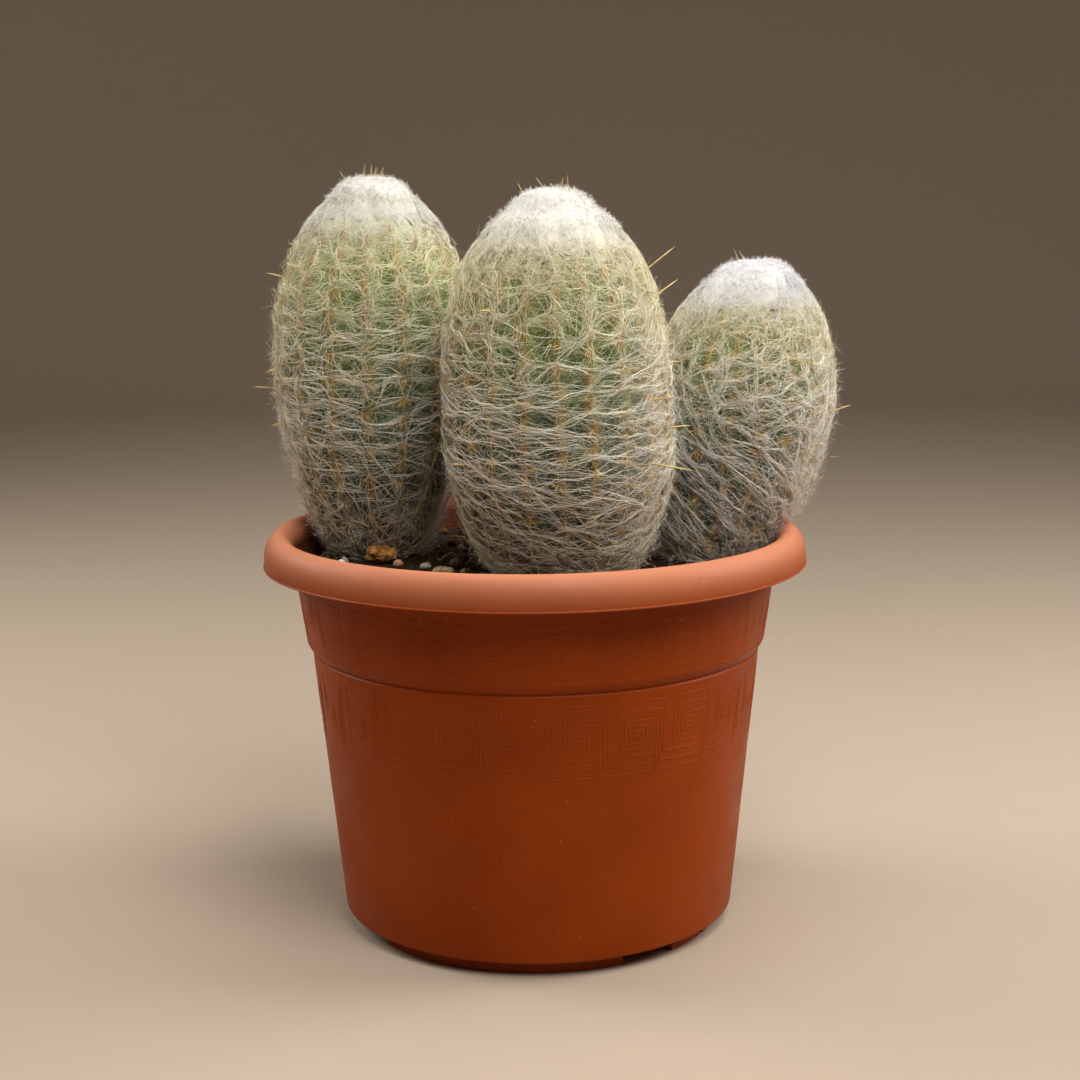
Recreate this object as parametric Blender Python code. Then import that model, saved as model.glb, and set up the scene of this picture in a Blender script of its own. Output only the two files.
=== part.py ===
"""Potted espostoa: three woolly old-man cactus stems in a round plastic pot.

Metres, +Z up, the camera side is -Y. The origin is on the surface that the pot
stands on, under the middle of the whole plant's box. Every stem is built in its
own frame, with its origin where its axis meets the soil.
"""
import math
import random
from collections import namedtuple

import bmesh
import bpy
from mathutils import Vector

TURN = 2.0 * math.pi

# The right stem leans out past the rim, so the pot stands a little to the left
POT_X = -0.0036
POT_SIDES = 64

# Pot, from the floor up
FOOT_HEIGHT = 0.0039
FOOT_OUTER = 0.0474
FOOT_WALL = 0.0017
NOTCH_WEB = 0.0002
WALL_THICK = 0.0014
FLOOR_THICK = 0.0016
WALL_EDGE_ROUND = 0.0005
FLOOR_EDGE_ROUND = 0.0010
WALL_BOTTOM_RADIUS = 0.0513
GROOVE_Z = 0.0730
GROOVE_RADIUS = 0.0582
STEP_HEIGHT = 0.0026
STEP_DEPTH = 0.0014
BAND_TOP_Z = 0.0955
BAND_TOP_RADIUS = 0.0624
RIM_RADIUS = 0.0700
RIM_ROLL_HALF = 0.0040
RIM_ROLL_Z = 0.0974
RIM_ROLL_RISE = 0.0061
RIM_SEAM_Z = 0.0951
RIM_SHELL = 0.0013
FOOT_START_DEG = -55.0
FOOT_NOTCHES_DEG = ((81.0, 100.0), (115.0, 118.0), (155.0, 180.0))
DRAIN_RADIUS = 0.0030
DRAIN_CIRCLE = 0.0300
DRAIN_COUNT = 5
DRAIN_SIDES = 10

# Soil
SOIL_Z = 0.0940
SOIL_BUMP = 0.0008
SOIL_WAVE = 0.0075
SOIL_CALM = 0.0040
SOIL_SIDES = 48
SOIL_RINGS = 7
SOIL_WALL_GAP = 0.0005
CLEARANCE = 0.0003
PEG_RADIUS = 0.0080
PEG_DEPTH = 0.0080
COLLAR_HEIGHT = 0.0016

# What the stems share: ribs, areoles, wool net and crown
WOOL_DEPTH = 0.0026
CROWN_THICK = 0.0040
CROWN_GAP = 0.0006
DOME_SHARES = (0.45, 0.85)
CROWN_BLUNT = 0.0003
SWAY_HEIGHT = 0.0300
RIB_DEPTH = 0.0030
AREOLE_RAISE = 0.0005
AREOLE_PITCH = 0.0074
NET_STRAND = 0.0015
NET_JITTER = 0.0007
NET_FOOT = 0.0026
SPINE_THICK = 0.0008
SPINE_ROOT = 0.0022
SPINES_PER_STEM = 16
SPINE_LOWEST = 0.0180
SPINE_AIR = 0.0015
SPINE_SWING = math.radians(24.0)

# Where the wool is pressed in by the pot's rim
LIP_LIMIT = 0.0604
LIP_LIMIT_Z = 0.1018
LIP_LIMIT_SLOPE = 1.3

# A stem's outline is a swollen column: its widest radius at one height, and a
# superellipse above and below it, with the exponents in upper and lower. The crown is
# blunter: knob is its radius, its height and its own exponent.
# x, y: where the axis meets the soil, from the pot's axis; lean: sideways over up;
# sway: how far the foot bends out to the leaning axis.
# spines: the long spines that show (azimuth in degrees from +X, height over the
# soil, length past the rib, elevation in degrees).
Stem = namedtuple("Stem", "name x y lean sway top widest low radius upper knob lower ribs crown"
                          " spines seed")

STEMS = (
    Stem("left", -0.0424, 0.0170, 0.008, (0.0, 0.0), 0.0994, 0.0507, -0.0140, 0.02705,
         (2.62, 1.55), (0.0106, 0.0088, 2.8), (1.92, 1.29), 16, 0.0130,
         ((185, 0.045, 0.0085, 5), (200, 0.030, 0.0060, -15), (165, 0.078, 0.0070, 20),
          (215, 0.052, 0.0060, -20)), 11),
    Stem("middle", 0.0070, -0.0175, -0.022, (0.0, 0.0), 0.0961, 0.0301, -0.0023, 0.02924,
         (3.66, 1.43), (0.0133, 0.0183, 2.7), (1.20, 3.90), 20, 0.0150,
         ((-8, 0.074, 0.0115, 38), (10, 0.070, 0.0110, 32), (-38, 0.033, 0.0130, -4),
          (-24, 0.046, 0.0080, 12), (-30, 0.039, 0.0075, 8)), 23),
    Stem("right", 0.0464, 0.0070, 0.109, (0.0030, 0.0035), 0.0772, 0.0379, -0.0035, 0.02550,
         (2.13, 1.79), (0.0106, 0.0064, 2.6), (1.20, 3.77), 18, 0.0120,
         ((-30, 0.030, 0.0060, 10), (-75, 0.052, 0.0060, 10)), 37),
)

# Stones and litter by the left stem: place from the pot's axis, size, colour, seed
Stone = namedtuple("Stone", "name x y size colour seed")
STONES = (
    Stone("bark_chip", -0.0402, -0.0006, (0.0080, 0.0050, 0.0046), (0.36, 0.14, 0.03), 5),
    Stone("pebble_pink", -0.0352, -0.0075, (0.0026, 0.0022, 0.0020), (0.55, 0.26, 0.15), 6),
    Stone("pebble_grey", -0.0280, -0.0110, (0.0030, 0.0024, 0.0019), (0.45, 0.38, 0.33), 7),
    Stone("stone_tan", -0.0232, -0.0190, (0.0056, 0.0036, 0.0024), (0.50, 0.30, 0.13), 8),
    Stone("pebble_olive", -0.0203, -0.0085, (0.0034, 0.0030, 0.0026), (0.30, 0.27, 0.19), 9),
    Stone("perlite", -0.0502, -0.0040, (0.0022, 0.0018, 0.0016), (0.80, 0.80, 0.77), 10),
)


def clear_scene():
    for obj in list(bpy.data.objects):
        bpy.data.objects.remove(obj, do_unlink=True)


def material(name, colour, roughness):
    """A plain Principled material."""
    mat = bpy.data.materials.new(name)
    mat.use_nodes = True
    shader = mat.node_tree.nodes["Principled BSDF"]
    shader.inputs["Base Color"].default_value = (*colour, 1.0)
    shader.inputs["Roughness"].default_value = roughness
    shader.inputs["Metallic"].default_value = 0.0
    mat.diffuse_color = (*colour, 1.0)
    return mat


def add_object(name, bm, mat=None, place=(0.0, 0.0, 0.0)):
    """Turn a bmesh into a named object at its place."""
    bmesh.ops.recalc_face_normals(bm, faces=bm.faces)
    mesh = bpy.data.meshes.new(name)
    bm.to_mesh(mesh)
    bm.free()
    obj = bpy.data.objects.new(name, mesh)
    obj.location = place
    bpy.context.scene.collection.objects.link(obj)
    if mat:
        mesh.materials.append(mat)
    return obj


def smooth(obj, degrees):
    obj.data.shade_smooth()
    obj.data.set_sharp_from_angle(angle=math.radians(degrees))


def apply_modifiers(obj):
    """Replace the mesh by the one that the modifiers make."""
    graph = bpy.context.evaluated_depsgraph_get()
    mesh = bpy.data.meshes.new_from_object(obj.evaluated_get(graph))
    obj.modifiers.clear()
    obj.data = mesh


def boolean_with_all(target, others, operation):
    """One Boolean between the target and a collection of pieces, which then go."""
    group = bpy.data.collections.new(target.name + "_group")
    bpy.context.scene.collection.children.link(group)
    for obj in others:
        group.objects.link(obj)
    boolean = target.modifiers.new(operation.lower(), "BOOLEAN")
    boolean.operation = operation
    boolean.solver = "EXACT"
    boolean.operand_type = "COLLECTION"
    boolean.collection = group
    apply_modifiers(target)
    for obj in others:
        bpy.data.objects.remove(obj, do_unlink=True)
    bpy.data.collections.remove(group)


def circle_points(radius, z, sides, centre=(0.0, 0.0)):
    return [Vector((centre[0] + radius * math.cos(TURN * i / sides),
                    centre[1] + radius * math.sin(TURN * i / sides), z))
            for i in range(sides)]


def bridge(bm, ring_a, ring_b):
    """Quads between two closed rings of the same count."""
    count = len(ring_a)
    for i in range(count):
        j = (i + 1) % count
        bm.faces.new((ring_a[i], ring_a[j], ring_b[j], ring_b[i]))


def fan(bm, ring, centre):
    """Triangles from a closed ring to one vertex."""
    count = len(ring)
    for i in range(count):
        bm.faces.new((ring[i], ring[(i + 1) % count], centre))


def turned(profile, sides):
    """A closed turned solid; the profile's first and last radius may be zero."""
    bm = bmesh.new()
    rings = []
    for radius, z in profile:
        if radius == 0.0:
            rings.append([bm.verts.new((0.0, 0.0, z))])
        else:
            rings.append([bm.verts.new(p) for p in circle_points(radius, z, sides)])
    for ring_a, ring_b in zip(rings, rings[1:]):
        if len(ring_a) == 1:
            fan(bm, ring_b, ring_a[0])
        elif len(ring_b) == 1:
            fan(bm, ring_a, ring_b[0])
        else:
            bridge(bm, ring_a, ring_b)
    return bm


# Pot

def roll_point(radius_half, rise, degrees):
    """A point of the rolled rim's ellipse, 0 on its outer side, 90 at its crest."""
    angle = math.radians(degrees)
    centre = RIM_RADIUS - RIM_ROLL_HALF
    return (centre + radius_half * math.cos(angle), RIM_ROLL_Z + rise * math.sin(angle))


def wall_radius(z):
    """Outer radius of the tapered wall under the groove."""
    share = (z - FOOT_HEIGHT) / (GROOVE_Z - FOOT_HEIGHT)
    return WALL_BOTTOM_RADIUS + share * (GROOVE_RADIUS - WALL_BOTTOM_RADIUS)


def pot_profile():
    """From the floor's middle underneath, out and up the wall, over the rim and back in."""
    floor_top = FOOT_HEIGHT + FLOOR_THICK
    band_foot = GROOVE_RADIUS + STEP_DEPTH
    points = [(0.0, FOOT_HEIGHT), (FOOT_OUTER - FOOT_WALL, FOOT_HEIGHT),
              (FOOT_OUTER - FOOT_WALL, 0.0), (FOOT_OUTER, 0.0), (FOOT_OUTER, FOOT_HEIGHT),
              (WALL_BOTTOM_RADIUS - WALL_EDGE_ROUND, FOOT_HEIGHT),
              (WALL_BOTTOM_RADIUS, FOOT_HEIGHT + WALL_EDGE_ROUND),
              (GROOVE_RADIUS, GROOVE_Z),
              (band_foot, GROOVE_Z + STEP_HEIGHT),
              (BAND_TOP_RADIUS, BAND_TOP_Z)]
    inner_half = RIM_ROLL_HALF - RIM_SHELL
    inner_rise = RIM_ROLL_RISE - RIM_SHELL
    points += [roll_point(inner_half, inner_rise, a) for a in (165, 90, 0)]
    points += [(RIM_RADIUS - RIM_SHELL, RIM_SEAM_Z), (RIM_RADIUS, RIM_SEAM_Z)]
    points += [roll_point(RIM_ROLL_HALF, RIM_ROLL_RISE, a) for a in range(0, 181, 20)]
    points += [(BAND_TOP_RADIUS - WALL_THICK, BAND_TOP_Z),
               (band_foot - WALL_THICK, GROOVE_Z + STEP_HEIGHT),
               (GROOVE_RADIUS - WALL_THICK, GROOVE_Z),
               (inner_wall_radius(floor_top), floor_top + FLOOR_EDGE_ROUND),
               (inner_wall_radius(floor_top) - FLOOR_EDGE_ROUND, floor_top),
               (0.0, floor_top)]
    return points


def inner_wall_radius(z):
    return wall_radius(z) - WALL_THICK


def wedge(start_deg, end_deg):
    """A cutter that opens one notch in the foot ring."""
    bm = bmesh.new()
    inner = FOOT_OUTER - 2.0 * FOOT_WALL
    outer = FOOT_OUTER + FOOT_WALL
    corners = []
    for degrees in (start_deg, 0.5 * (start_deg + end_deg), end_deg):
        angle = math.radians(degrees - 90.0)
        corners.append((math.cos(angle), math.sin(angle)))
    outline = [(inner * c, inner * s) for c, s in corners]
    outline += [(outer * c, outer * s) for c, s in reversed(corners)]
    low = [bm.verts.new((x, y, -FOOT_HEIGHT)) for x, y in outline]
    high = [bm.verts.new((x, y, FOOT_HEIGHT - NOTCH_WEB)) for x, y in outline]
    bridge(bm, low, high)
    bm.faces.new(low)
    bm.faces.new(high)
    return add_object("notch_cutter", bm)


def drain_cutters():
    cutters = []
    for i in range(DRAIN_COUNT):
        angle = TURN * i / DRAIN_COUNT
        centre = (DRAIN_CIRCLE * math.cos(angle), DRAIN_CIRCLE * math.sin(angle))
        bm = bmesh.new()
        low = [bm.verts.new(p) for p in circle_points(DRAIN_RADIUS, 0.0, DRAIN_SIDES, centre)]
        high = [bm.verts.new(p) for p in
                circle_points(DRAIN_RADIUS, 2.0 * FOOT_HEIGHT, DRAIN_SIDES, centre)]
        bridge(bm, low, high)
        bm.faces.new(low)
        bm.faces.new(high)
        cutters.append(add_object("drain_cutter", bm))
    return cutters


def make_pot():
    """Tapered wall, stepped band, hollow rolled rim and a foot ring in sections."""
    mat = material("terracotta_plastic", (0.42, 0.115, 0.040), 0.42)
    pot = add_object("pot", turned(pot_profile(), POT_SIDES), mat)
    cutters = drain_cutters()
    for half_turn in (0.0, 180.0):
        start = FOOT_START_DEG + half_turn
        cutters += [wedge(start + a, start + b) for a, b in FOOT_NOTCHES_DEG]
    boolean_with_all(pot, cutters, "DIFFERENCE")
    pot.location.x = POT_X
    smooth(pot, 35.0)
    return pot


# Soil

def soil_height(x, y, phase):
    """Crumbly surface of crossed waves, flat under the stones."""
    bumps = (math.sin(TURN * x / SOIL_WAVE + phase[0]) * math.cos(TURN * y / SOIL_WAVE + phase[1])
             + 0.6 * math.sin(TURN * (1.9 * x + 1.4 * y) / SOIL_WAVE + phase[2]))
    calm = 1.0
    for stone in STONES:
        reach = 0.5 * max(stone.size[0], stone.size[1]) + SOIL_CALM
        calm = min(calm, max(0.0, math.hypot(x - stone.x, y - stone.y) / reach - 1.0))
    return SOIL_Z + 0.6 * SOIL_BUMP * bumps * calm


def soil_wall_radius(z):
    """Radius just inside the pot's wall, in the band and under it."""
    if z <= GROOVE_Z:
        return inner_wall_radius(z) - SOIL_WALL_GAP
    band_foot = GROOVE_RADIUS + STEP_DEPTH
    band_low = GROOVE_Z + STEP_HEIGHT
    share = (z - band_low) / (BAND_TOP_Z - band_low)
    return band_foot + share * (BAND_TOP_RADIUS - band_foot) - WALL_THICK - SOIL_WALL_GAP


def peg_cutter(stem):
    """The plain hole that a stem stands in."""
    bm = bmesh.new()
    centre = (stem.x, stem.y)
    radius = PEG_RADIUS + CLEARANCE
    low = [bm.verts.new(p) for p in
           circle_points(radius, SOIL_Z - PEG_DEPTH - CLEARANCE, stem.ribs, centre)]
    high = [bm.verts.new(p) for p in circle_points(radius, SOIL_Z + PEG_DEPTH, stem.ribs, centre)]
    bridge(bm, low, high)
    bm.faces.new(low)
    bm.faces.new(high)
    return add_object("peg_cutter", bm)


def make_soil():
    """Potting soil that fills the pot, with a hole for each stem."""
    rng = random.Random(3)
    phase = [rng.uniform(0.0, TURN) for _ in range(3)]
    floor = FOOT_HEIGHT + FLOOR_THICK + CLEARANCE
    bm = bmesh.new()
    round_z = floor + FLOOR_EDGE_ROUND
    sides = [(soil_wall_radius(floor) - FLOOR_EDGE_ROUND, floor),
             (soil_wall_radius(floor), round_z),
             (soil_wall_radius(GROOVE_Z), GROOVE_Z),
             (soil_wall_radius(GROOVE_Z + STEP_HEIGHT), GROOVE_Z + STEP_HEIGHT)]
    rings = [[bm.verts.new(p) for p in circle_points(r, z, SOIL_SIDES)] for r, z in sides]
    edge = soil_wall_radius(SOIL_Z - SOIL_BUMP) - CLEARANCE
    for k in range(SOIL_RINGS):
        radius = edge * (1.0 - k / SOIL_RINGS)
        ring = []
        for p in circle_points(radius, 0.0, SOIL_SIDES):
            ring.append(bm.verts.new((p.x, p.y, soil_height(p.x, p.y, phase))))
        rings.append(ring)
    for ring_a, ring_b in zip(rings, rings[1:]):
        bridge(bm, ring_a, ring_b)
    fan(bm, rings[-1], bm.verts.new((0.0, 0.0, soil_height(0.0, 0.0, phase))))
    bm.faces.new(rings[0])
    bmesh.ops.triangulate(bm, faces=bm.faces)
    soil = add_object("soil", bm, material("dark_soil", (0.020, 0.012, 0.007), 0.95))
    boolean_with_all(soil, [peg_cutter(stem) for stem in STEMS], "DIFFERENCE")
    soil.location.x = POT_X
    return soil


def make_stone(stone):
    """A faceted pebble or chip that lies on the soil."""
    rng = random.Random(stone.seed)
    bm = bmesh.new()
    bmesh.ops.create_icosphere(bm, subdivisions=2, radius=0.5)
    for v in bm.verts:
        v.co *= 1.0 + rng.uniform(-0.10, 0.10)
        v.co.x *= stone.size[0]
        v.co.y *= stone.size[1]
        v.co.z *= stone.size[2]
    lowest = min(v.co.z for v in bm.verts)
    place = (POT_X + stone.x, stone.y, SOIL_Z + CLEARANCE - lowest)
    return add_object(stone.name, bm, material(stone.name + "_skin", stone.colour, 0.8), place)


# Stems

def column_radius(stem, h, shrink=0.0, lower_top=0.0):
    """Radius of the swollen column at height h over the soil."""
    if h < stem.widest:
        share = min(1.0, (stem.widest - h) / (stem.widest - stem.low))
        first, second = stem.lower
        return stem.radius * (1.0 - share ** first) ** (1.0 / second) - shrink
    top = stem.top - lower_top
    share = min(1.0, (h - stem.widest) / (top - stem.widest))
    first, second = stem.upper
    swell = (stem.radius - shrink) * (1.0 - share ** first) ** (1.0 / second)
    return max(swell, knob_radius(stem, h, shrink, top))


def knob_radius(stem, h, shrink, top):
    """Radius of the blunt crown at height h, zero under it."""
    width, height, power = stem.knob
    share = (h - top + height) / height
    if not 0.0 <= share <= 1.0:
        return 0.0
    return (width - shrink) * (1.0 - share ** power) ** (1.0 / power)


def axis_point(stem, h):
    """The column's middle at height h, from the stem's foot."""
    bend = 1.0 - max(0.0, 1.0 - max(0.0, h) / SWAY_HEIGHT) ** 2
    return Vector((stem.lean * h + stem.sway[0] * bend, stem.sway[1] * bend, h))


def lip_room(stem, h, angle, inset):
    """How far the stem may swell towards an angle before it meets the pot's rim."""
    z = SOIL_Z + h
    limit = LIP_LIMIT + LIP_LIMIT_SLOPE * max(0.0, z - LIP_LIMIT_Z) - inset
    middle = axis_point(stem, h)
    cx = stem.x + middle.x
    cy = stem.y + middle.y
    along = cx * math.cos(angle) + cy * math.sin(angle)
    return -along + math.sqrt(max(0.0, along ** 2 + limit ** 2 - cx ** 2 - cy ** 2))


def wool_point(stem, h, angle, inset=0.0):
    """A point on the wool's outer surface, or inset under it."""
    radius = min(column_radius(stem, h), lip_room(stem, h, angle, 0.0)) - inset
    return axis_point(stem, h) + radius * Vector((math.cos(angle), math.sin(angle), 0.0))


def body_point(stem, h, angle, inset=0.0):
    """A point on the green body, crest height, or inset under it."""
    radius = column_radius(stem, h, WOOL_DEPTH, CROWN_THICK)
    radius = min(radius, lip_room(stem, h, angle, WOOL_DEPTH)) - inset
    return axis_point(stem, h) + radius * Vector((math.cos(angle), math.sin(angle), 0.0))


def even_heights(stem, low, high, pitch):
    """Heights at equal steps along the column's outline, about one pitch apart."""
    fine = 400
    hs = [low + (high - low) * i / fine for i in range(fine + 1)]
    run = [0.0]
    for a, b in zip(hs, hs[1:]):
        run.append(run[-1] + math.hypot(b - a, column_radius(stem, b) - column_radius(stem, a)))
    steps = max(2, round(run[-1] / pitch))
    heights = []
    i = 0
    for k in range(steps + 1):
        goal = run[-1] * k / steps
        while i < fine - 1 and run[i + 1] < goal:
            i += 1
        share = (goal - run[i]) / (run[i + 1] - run[i])
        heights.append(hs[i] + share * (hs[i + 1] - hs[i]))
    return heights


def areole_heights(stem):
    """Rows of areoles, from the foot of the net to the crown's edge."""
    return even_heights(stem, NET_FOOT, stem.top - stem.crown, AREOLE_PITCH)


def rib_fade(stem, h):
    """Ribs die out at the soil and under the crown."""
    return min(1.0, max(0.0, h / 0.015), max(0.0, (stem.top - h) / 0.020))


def stem_body(stem):
    """Ribbed column: each crest has a raised vertex at an areole and a low one between."""
    bm = bmesh.new()
    rows = areole_heights(stem)
    n = stem.ribs
    crest_at = [TURN * i / n for i in range(n)]
    valley_at = [TURN * (i + 0.5) / n for i in range(n)]
    crests = []
    valleys = []
    for k, h in enumerate(rows):
        depth = RIB_DEPTH * rib_fade(stem, h)
        crests.append([bm.verts.new(body_point(stem, h, a)) for a in crest_at])
        valleys.append([bm.verts.new(body_point(stem, h, a, depth)) for a in valley_at])
        if k + 1 < len(rows):
            mid = 0.5 * (h + rows[k + 1])
            crests.append([bm.verts.new(body_point(stem, mid, a, AREOLE_RAISE)) for a in crest_at])
    for k in range(len(rows) - 1):
        c0, c1, c2 = crests[2 * k], crests[2 * k + 1], crests[2 * k + 2]
        v0, v2 = valleys[k], valleys[k + 1]
        for i in range(n):
            j = (i + 1) % n
            for a, b in ((i, i), (j, i)):
                bm.faces.new((c0[a], c1[a], v0[b]))
                bm.faces.new((c1[a], v2[b], v0[b]))
                bm.faces.new((c1[a], c2[a], v2[b]))
    close_crown(bm, stem, [v for pair in zip(crests[-1], valleys[-1]) for v in pair], rows[-1])
    close_foot(bm, stem, [v for pair in zip(crests[0], valleys[0]) for v in pair])
    return bm


def close_crown(bm, stem, ring, h_edge):
    """Smooth dome from the last row of areoles to the growing point."""
    n = stem.ribs
    top = stem.top - CROWN_THICK
    for share in DOME_SHARES:
        h = h_edge + (top - h_edge) * share
        dome = [bm.verts.new(body_point(stem, h, TURN * i / n)) for i in range(n)]
        if len(ring) == 2 * n:
            for i in range(n):
                bm.faces.new((ring[2 * i], ring[2 * i + 1], dome[i]))
                bm.faces.new((ring[2 * i + 1], ring[(2 * i + 2) % (2 * n)], dome[(i + 1) % n]))
                bm.faces.new((ring[2 * i + 1], dome[(i + 1) % n], dome[i]))
        else:
            bridge(bm, ring, dome)
        ring = dome
    fan(bm, ring, bm.verts.new(axis_point(stem, top)))


def close_foot(bm, stem, ring):
    """Collar and round peg that stand in the soil."""
    n = stem.ribs
    collar = [bm.verts.new(p) for p in circle_points(PEG_RADIUS, COLLAR_HEIGHT, n)]
    for i in range(n):
        bm.faces.new((ring[2 * i], ring[2 * i + 1], collar[i]))
        bm.faces.new((ring[2 * i + 1], ring[(2 * i + 2) % (2 * n)], collar[(i + 1) % n]))
        bm.faces.new((ring[2 * i + 1], collar[(i + 1) % n], collar[i]))
    peg = [bm.verts.new(p) for p in circle_points(PEG_RADIUS, -PEG_DEPTH, n)]
    bridge(bm, collar, peg)
    bm.faces.new(peg)


def spine(root, direction, length):
    """A three-sided needle, sunk into the rib that it grows from."""
    bm = bmesh.new()
    side = direction.orthogonal().normalized()
    other = direction.cross(side)
    start = root - direction * SPINE_ROOT
    base = []
    for i in range(3):
        angle = TURN * i / 3
        offset = (side * math.cos(angle) + other * math.sin(angle)) * (0.58 * SPINE_THICK)
        base.append(bm.verts.new(start + offset))
    tip = bm.verts.new(root + direction * length)
    fan(bm, base, tip)
    bm.faces.new(base)
    return add_object("spine", bm)


def spine_direction(stem, h, azimuth, elevation):
    """Outward, kept near the surface's own normal so that it leaves the net's cell."""
    step = 0.001
    fall = column_radius(stem, h - step) - column_radius(stem, h + step)
    tilt = math.atan2(fall, 2.0 * step)
    elevation = min(tilt + SPINE_SWING, max(tilt - SPINE_SWING, elevation))
    return Vector((math.cos(azimuth) * math.cos(elevation),
                   math.sin(azimuth) * math.cos(elevation), math.sin(elevation)))


def is_clear(stem, point):
    """True where a spine's tip stays out of the other stems."""
    x = stem.x + point.x
    y = stem.y + point.y
    for other in STEMS:
        if other is stem:
            continue
        if point.z > other.top:
            continue
        middle = axis_point(other, point.z)
        apart = math.hypot(x - other.x - middle.x, y - other.y - middle.y)
        if apart < column_radius(other, point.z) + SPINE_AIR:
            return False
    return True


def cell_of(stem, rows, azimuth, height):
    """The net's cell nearest to a direction: rib and row numbers with an even sum."""
    best = None
    for k in range(1, len(rows) - 1):
        for i in range(stem.ribs):
            if (i + k) % 2:
                continue
            turn = math.remainder(azimuth - TURN * i / stem.ribs, TURN)
            miss = math.hypot(turn * stem.radius, rows[k] - height)
            if best is None or miss < best[0]:
                best = (miss, i, k)
    return best[1], best[2]


def stem_spines(stem):
    """The spines that show in front, then a seeded, even set on all the other sides."""
    rng = random.Random(stem.seed)
    rows = areole_heights(stem)
    wanted = [(math.radians(a), h, length, math.radians(e)) for a, h, length, e in stem.spines]
    golden = math.pi * (3.0 - math.sqrt(5.0))
    for i in range(SPINES_PER_STEM):
        height = rows[1] + (rows[-2] - rows[1]) * (i + 0.5) / SPINES_PER_STEM
        wanted.append((stem.seed + i * golden, height, rng.uniform(0.0055, 0.0080),
                       math.radians(rng.uniform(-12.0, 30.0))))
    taken = set()
    spines = []
    for azimuth, height, length, elevation in wanted:
        cell = cell_of(stem, rows, azimuth, height)
        rib_angle = TURN * cell[0] / stem.ribs
        root = body_point(stem, rows[cell[1]], rib_angle)
        direction = spine_direction(stem, rows[cell[1]], rib_angle, elevation)
        if cell in taken or root.z < SPINE_LOWEST or not is_clear(stem, root + direction * length):
            continue
        taken.add(cell)
        spines.append(spine(root, direction, length))
    return spines


def make_stem(stem):
    """Green ribbed body with its spines."""
    mat = material("green_skin_" + stem.name, (0.075, 0.150, 0.060), 0.55)
    obj = add_object("stem_" + stem.name, stem_body(stem), mat)
    boolean_with_all(obj, stem_spines(stem), "UNION")
    obj.location = (POT_X + stem.x, stem.y, SOIL_Z)
    smooth(obj, 30.0)
    return obj


# Wool

def net_surface(stem):
    """Diamond cells, each round one areole; their corners lie on the next ribs."""
    rng = random.Random(stem.seed + 1)
    bm = bmesh.new()
    rows = areole_heights(stem)
    n = stem.ribs
    knots = {}
    for k, h in enumerate(rows):
        for i in range(n):
            if (i + k) % 2 == 0:
                continue
            edge_row = k in (0, len(rows) - 1)
            shift = 0.0 if edge_row else rng.uniform(-NET_JITTER, NET_JITTER)
            turn = rng.uniform(-NET_JITTER, NET_JITTER) / stem.radius
            point = wool_point(stem, h + shift, TURN * i / n + turn, 0.5 * NET_STRAND)
            knots[(i, k)] = bm.verts.new(point)
    for k in range(1, len(rows) - 1):
        for i in range(n):
            if (i + k) % 2 == 0:
                bm.faces.new((knots[(i, k - 1)], knots[((i + 1) % n, k)],
                              knots[(i, k + 1)], knots[((i - 1) % n, k)]))
    return bm


def crown_cap(stem):
    """The white woolly dome over the growing point, lumpy outside and hollow under."""
    rng = random.Random(stem.seed + 2)
    bm = bmesh.new()
    n = stem.ribs
    rows = areole_heights(stem)
    low = rows[-2] + 0.35 * (rows[-1] - rows[-2])
    outer_shares = (0.0, 0.28, 0.54, 0.76, 0.92)
    inner_top = stem.top - CROWN_THICK
    rings = [[bm.verts.new(body_point(stem, low, TURN * i / n, -CROWN_GAP)) for i in range(n)]]
    for share in outer_shares:
        h = low + (stem.top - low) * share
        ring = []
        for i in range(n):
            lump = rng.uniform(-0.0004, 0.0004)
            ring.append(bm.verts.new(wool_point(stem, h, TURN * i / n, lump)))
        rings.append(ring)
    for ring_a, ring_b in zip(rings, rings[1:]):
        bridge(bm, ring_a, ring_b)
    fan(bm, rings[-1], bm.verts.new(axis_point(stem, stem.top - CROWN_BLUNT)))
    under = rings[0]
    for share in (0.0,) + DOME_SHARES:
        h = rows[-1] + (inner_top - rows[-1]) * share
        ring = [bm.verts.new(body_point(stem, h, TURN * i / n, -CROWN_GAP)) for i in range(n)]
        bridge(bm, under, ring)
        under = ring
    fan(bm, under, bm.verts.new(axis_point(stem, inner_top + CROWN_GAP)))
    return add_object("crown_cap", bm)


def make_wool(stem):
    """White crown cap and the raised net of wound strands, as one body."""
    mat = material("cream_wool_" + stem.name, (0.62, 0.58, 0.44), 0.95)
    wool = add_object("wool_" + stem.name, net_surface(stem), mat)
    wire = wool.modifiers.new("strands", "WIREFRAME")
    wire.thickness = NET_STRAND
    wire.offset = 0.0
    wire.use_boundary = True
    wire.use_replace = True
    wire.use_even_offset = True
    apply_modifiers(wool)
    boolean_with_all(wool, [crown_cap(stem)], "UNION")
    wool.location = (POT_X + stem.x, stem.y, SOIL_Z)
    smooth(wool, 50.0)
    return wool


def main():
    clear_scene()
    make_pot()
    make_soil()
    for stone in STONES:
        make_stone(stone)
    for stem in STEMS:
        make_stem(stem)
        make_wool(stem)


main()
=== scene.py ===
"""Fine model of a potted espostoa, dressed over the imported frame.

Three woolly ribbed stems stand in dark potting soil, in a terracotta-coloured plastic pot with a
rolled rim and a faint key pattern. Lengths are in metres and +Z is up. The front is towards -Y.
"""
import math
import random
from collections import namedtuple

import bmesh
import bpy
import numpy as np
from mathutils import Matrix, Vector, noise


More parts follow.
